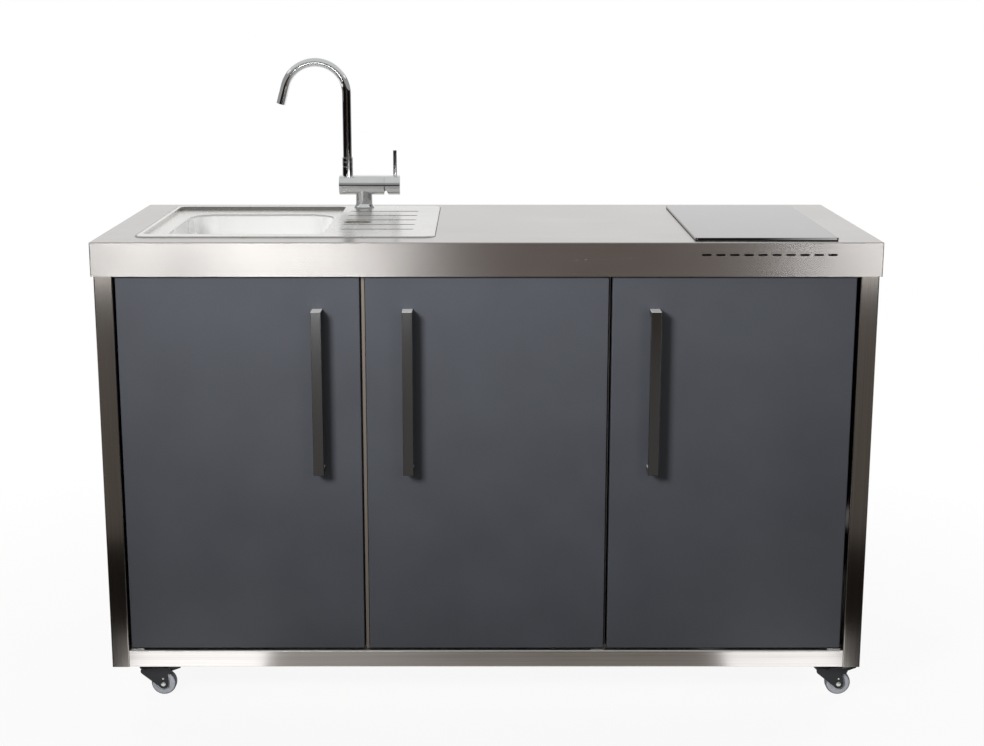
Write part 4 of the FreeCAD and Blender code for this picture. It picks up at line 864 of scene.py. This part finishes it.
def seen_rays(tree):
    """One where a camera, glossy or transmission ray arrives, zero for other rays."""
    path = add(tree, "LightPath").outputs
    bare = add(tree, "Math", {0: path["Is Camera Ray"], 1: path["Is Glossy Ray"]}, operation="ADD")
    both = add(tree, "Math", {0: bare.outputs["Value"], 1: path["Is Transmission Ray"]}, operation="ADD")
    both.use_clamp = True
    return both.outputs["Value"]


world = bpy.data.worlds.new("studio world")
bpy.context.scene.world = world
world.use_nodes = True
world.node_tree.nodes.clear()
strength = add(world.node_tree, "MapRange", {
    "Value": seen_rays(world.node_tree), "To Min": ambient, "To Max": 1.0})
sky = add(world.node_tree, "Background", {"Color": linear(white), "Strength": strength.outputs["Result"]})
add(world.node_tree, "OutputWorld", {"Surface": sky.outputs["Background"]})

floor_material, floor_tree, floor_place = new_material("pale studio floor")
# The floor and the dull boards are so wide that rays meet them anyway, so the light samples are left to
# the lamps and the lit boards.
floor_material.cycles.emission_sampling = "NONE"
floor_paint = add(floor_tree, "BsdfDiffuse", {"Color": linear(floor_white)}).outputs["BSDF"]
floor_glow = add(floor_tree, "Emission", {"Color": linear(white), "Strength": 1.0}).outputs["Emission"]
floor_far = add(floor_tree, "VectorMath", {0: floor_place}, operation="LENGTH").outputs["Value"]
floor_share = add(floor_tree, "MapRange", {
    "Value": floor_far, "From Min": glow_start, "From Max": glow_end, "To Min": glow_near, "To Max": 1.0})
floor_seen = add(floor_tree, "MixShader", {
    "Fac": floor_share.outputs["Result"], 1: floor_paint, 2: floor_glow})
floor_bounce = add(floor_tree, "BsdfDiffuse", {"Color": linear(floor_dull)}).outputs["BSDF"]
floor_mix = add(floor_tree, "MixShader", {
    "Fac": seen_rays(floor_tree), 1: floor_bounce, 2: floor_seen.outputs["Shader"]})
add(floor_tree, "OutputMaterial", {"Surface": floor_mix.outputs["Shader"]})
bpy.ops.mesh.primitive_plane_add(size=2 * floor_half, location=(0, 0, 0))
floor = bpy.context.object
floor.name = "studio_floor"
floor.data.materials.append(floor_material)


def plain_board(name, colour, glow=1.0):
    """The even face of a board, aimed at by light samples only if it is lit."""
    material, tree, _ = new_material(name)
    material.cycles.emission_sampling = "FRONT_BACK" if glow > 1.0 else "NONE"
    face = add(tree, "Emission", {"Color": linear(colour), "Strength": glow})
    add(tree, "OutputMaterial", {"Surface": face.outputs["Emission"]})
    return material


def soft_board(name, glow, dark_edge, full_edge, foot, even):
    """The lit face of a board, faded at its inner edge and its foot as a soft box is at its rim."""
    material, tree, place = new_material(name)
    material.cycles.emission_sampling = "FRONT_BACK"
    spot = add(tree, "SeparateXYZ", {"Vector": place}).outputs
    across = add(tree, "MapRange", {"Value": spot["X"], "From Min": dark_edge, "From Max": full_edge})
    upward = add(tree, "MapRange", {"Value": spot["Z"], "From Min": foot, "From Max": even})
    share = add(tree, "Math", {
        0: across.outputs["Result"], 1: upward.outputs["Result"]}, operation="MULTIPLY")
    face = add(tree, "Emission", {"Color": share.outputs["Value"], "Strength": glow})
    add(tree, "OutputMaterial", {"Surface": face.outputs["Emission"]})
    return material


def board(name, material, corner_places):
    """A flat board through its corners, seen only in reflections."""
    mesh = bpy.data.meshes.new(name)
    mesh.from_pydata(corner_places, [], [list(range(len(corner_places)))])
    panel = bpy.data.objects.new(name, mesh)
    bpy.context.scene.collection.objects.link(panel)
    panel.data.materials.append(material)
    panel.visible_camera = False
    panel.visible_diffuse = False
    panel.visible_shadow = False
    panel.visible_transmission = False
    return panel


def standing(name, material, left, right, foot, head):
    """An upright board from one floor point to another."""
    (x0, y0), (x1, y1) = left, right
    return board(name, material, [(x0, y0, foot), (x1, y1, foot), (x1, y1, head), (x0, y0, head)])


black_face = plain_board("black board", board_black)
brown_face = plain_board("brown board", board_brown)
floor_face = plain_board("floor board", board_floor)
grey_face = plain_board("grey board", board_grey)
edge_face = plain_board("pale board", board_edge)
near_face = plain_board("near floor board", board_near)
far_face = plain_board("far floor board", board_far)
left_face = soft_board("left lit board", left_glow, left_dark_edge, left_full_edge, lit_foot, lit_even)
right_face = soft_board("right lit board", right_glow, right_dark_edge, right_full_edge, lit_foot, lit_even)
low_face = plain_board("low lit board", white, low_glow)


def lying(name, material, left, right, front, back, height):
    """A level board between four edges."""
    return board(name, material, [
        (left, front, height), (right, front, height), (right, back, height), (left, back, height)])


lying("floor_board_far", far_face, -board_side, board_side, far_front, near_front, board_lift)
lying("floor_board_near", near_face, -board_side, board_side, near_front, strip_front, board_lift)
lying("floor_board_middle", floor_face, low_left, low_right, strip_front, strip_back, board_lift)
lying("floor_board_left", black_face, -board_side, -low_outside, strip_front, strip_back, board_lift)
lying("floor_board_right", black_face, low_outside, board_side, strip_front, strip_back, board_lift)
lying("floor_light_left", low_face, -low_outside, low_left, strip_front, strip_back, board_lift)
lying("floor_light_right", low_face, low_right, low_outside, strip_front, strip_back, board_lift)
lying("ceiling_board", grey_face, -board_side, board_side, ceiling_front, ceiling_back, wall_height)
for step in range(wall_panels):
    turns = [math.radians(wall_reach * (2 * (step + end) / wall_panels - 1)) for end in (0, 1)]
    ends = [(wall_radius * math.sin(turn), -wall_radius * math.cos(turn)) for turn in turns]
    wall_face = edge_face if max(abs(turn) for turn in turns) > math.radians(wall_dark_reach) else black_face
    standing("low_wall_board_%d" % step, wall_face, ends[0], ends[1], 0.0, wall_split)
    standing("high_wall_board_%d" % step, edge_face, ends[0], ends[1], wall_split, wall_height)
standing("middle_board", brown_face, (brown_left, brown_line), (brown_right, brown_line), 0.0, wall_split)
standing("left_light", left_face, (left_outside, lit_line), (left_dark_edge, lit_line), lit_foot, lit_head)
standing(
    "right_light", right_face, (right_dark_edge, lit_line), (right_outside, lit_line), lit_foot, lit_head)


def soft_lamp(name, place, target, width, height, power, spread=180):
    """A large soft box at a place, turned to face its target."""
    lamp = bpy.data.lights.new(name, "AREA")
    lamp.shape = "RECTANGLE"
    lamp.size = width
    lamp.size_y = height
    lamp.energy = power
    lamp.spread = math.radians(spread)
    holder = bpy.data.objects.new(name, lamp)
    bpy.context.scene.collection.objects.link(holder)
    holder.location = place
    holder.rotation_euler = (Vector(target) - Vector(place)).to_track_quat("-Z", "Y").to_euler()
    holder.visible_camera = False
    holder.visible_glossy = False
    return holder


soft_lamp(
    "key lamp", place=(-1.4, -2.6, 1.95), target=(0, 0, 1.45),
    width=0.8, height=0.8, power=26, spread=75)
soft_lamp(
    "fill lamp", place=(1.5, -2.6, 1.7), target=(0.2, 0, 1.1),
    width=0.8, height=0.8, power=2.6, spread=90)
soft_lamp(
    "overhead lamp", place=(-0.3, -0.95, 2.1), target=(-0.1, -0.5, 0.0),
    width=2.4, height=0.7, power=4)
soft_lamp(
    "sink lamp", place=(-0.47, -0.35, 2.0), target=(-0.475, 0.03, 0.9),
    width=0.2, height=0.2, power=0.34, spread=28)
soft_lamp(
    "rear left lamp", place=(-2.4, 2.6, 2.0), target=(-0.3, 0.2, 0.5),
    width=1.2, height=1.2, power=16, spread=110)
soft_lamp(
    "rear right lamp", place=(2.6, 2.2, 2.0), target=(0.3, 0.2, 0.5),
    width=1.2, height=1.2, power=16, spread=110)


# Camera
# It stands in front, a little above the worktop, and looks slightly down, as in the photograph. Its place
# and lens were found by fitting the corners of the worktop, the apron and the posts.

camera_place = (-0.0128, -3.4117, 1.3734)
camera_tilt = 77.721
camera_lens = 61.14
camera_sensor = 36.0
camera_shift = (0.0125, -0.0079)

camera_data = bpy.data.cameras.new("camera")
camera_data.sensor_width = camera_sensor
camera_data.lens = camera_lens
camera_data.shift_x, camera_data.shift_y = camera_shift
camera = bpy.data.objects.new("camera", camera_data)
bpy.context.scene.collection.objects.link(camera)
camera.location = camera_place
camera.rotation_euler = (math.radians(camera_tilt), 0, 0)
bpy.context.scene.camera = camera
bpy.context.scene.view_settings.view_transform = "Standard"
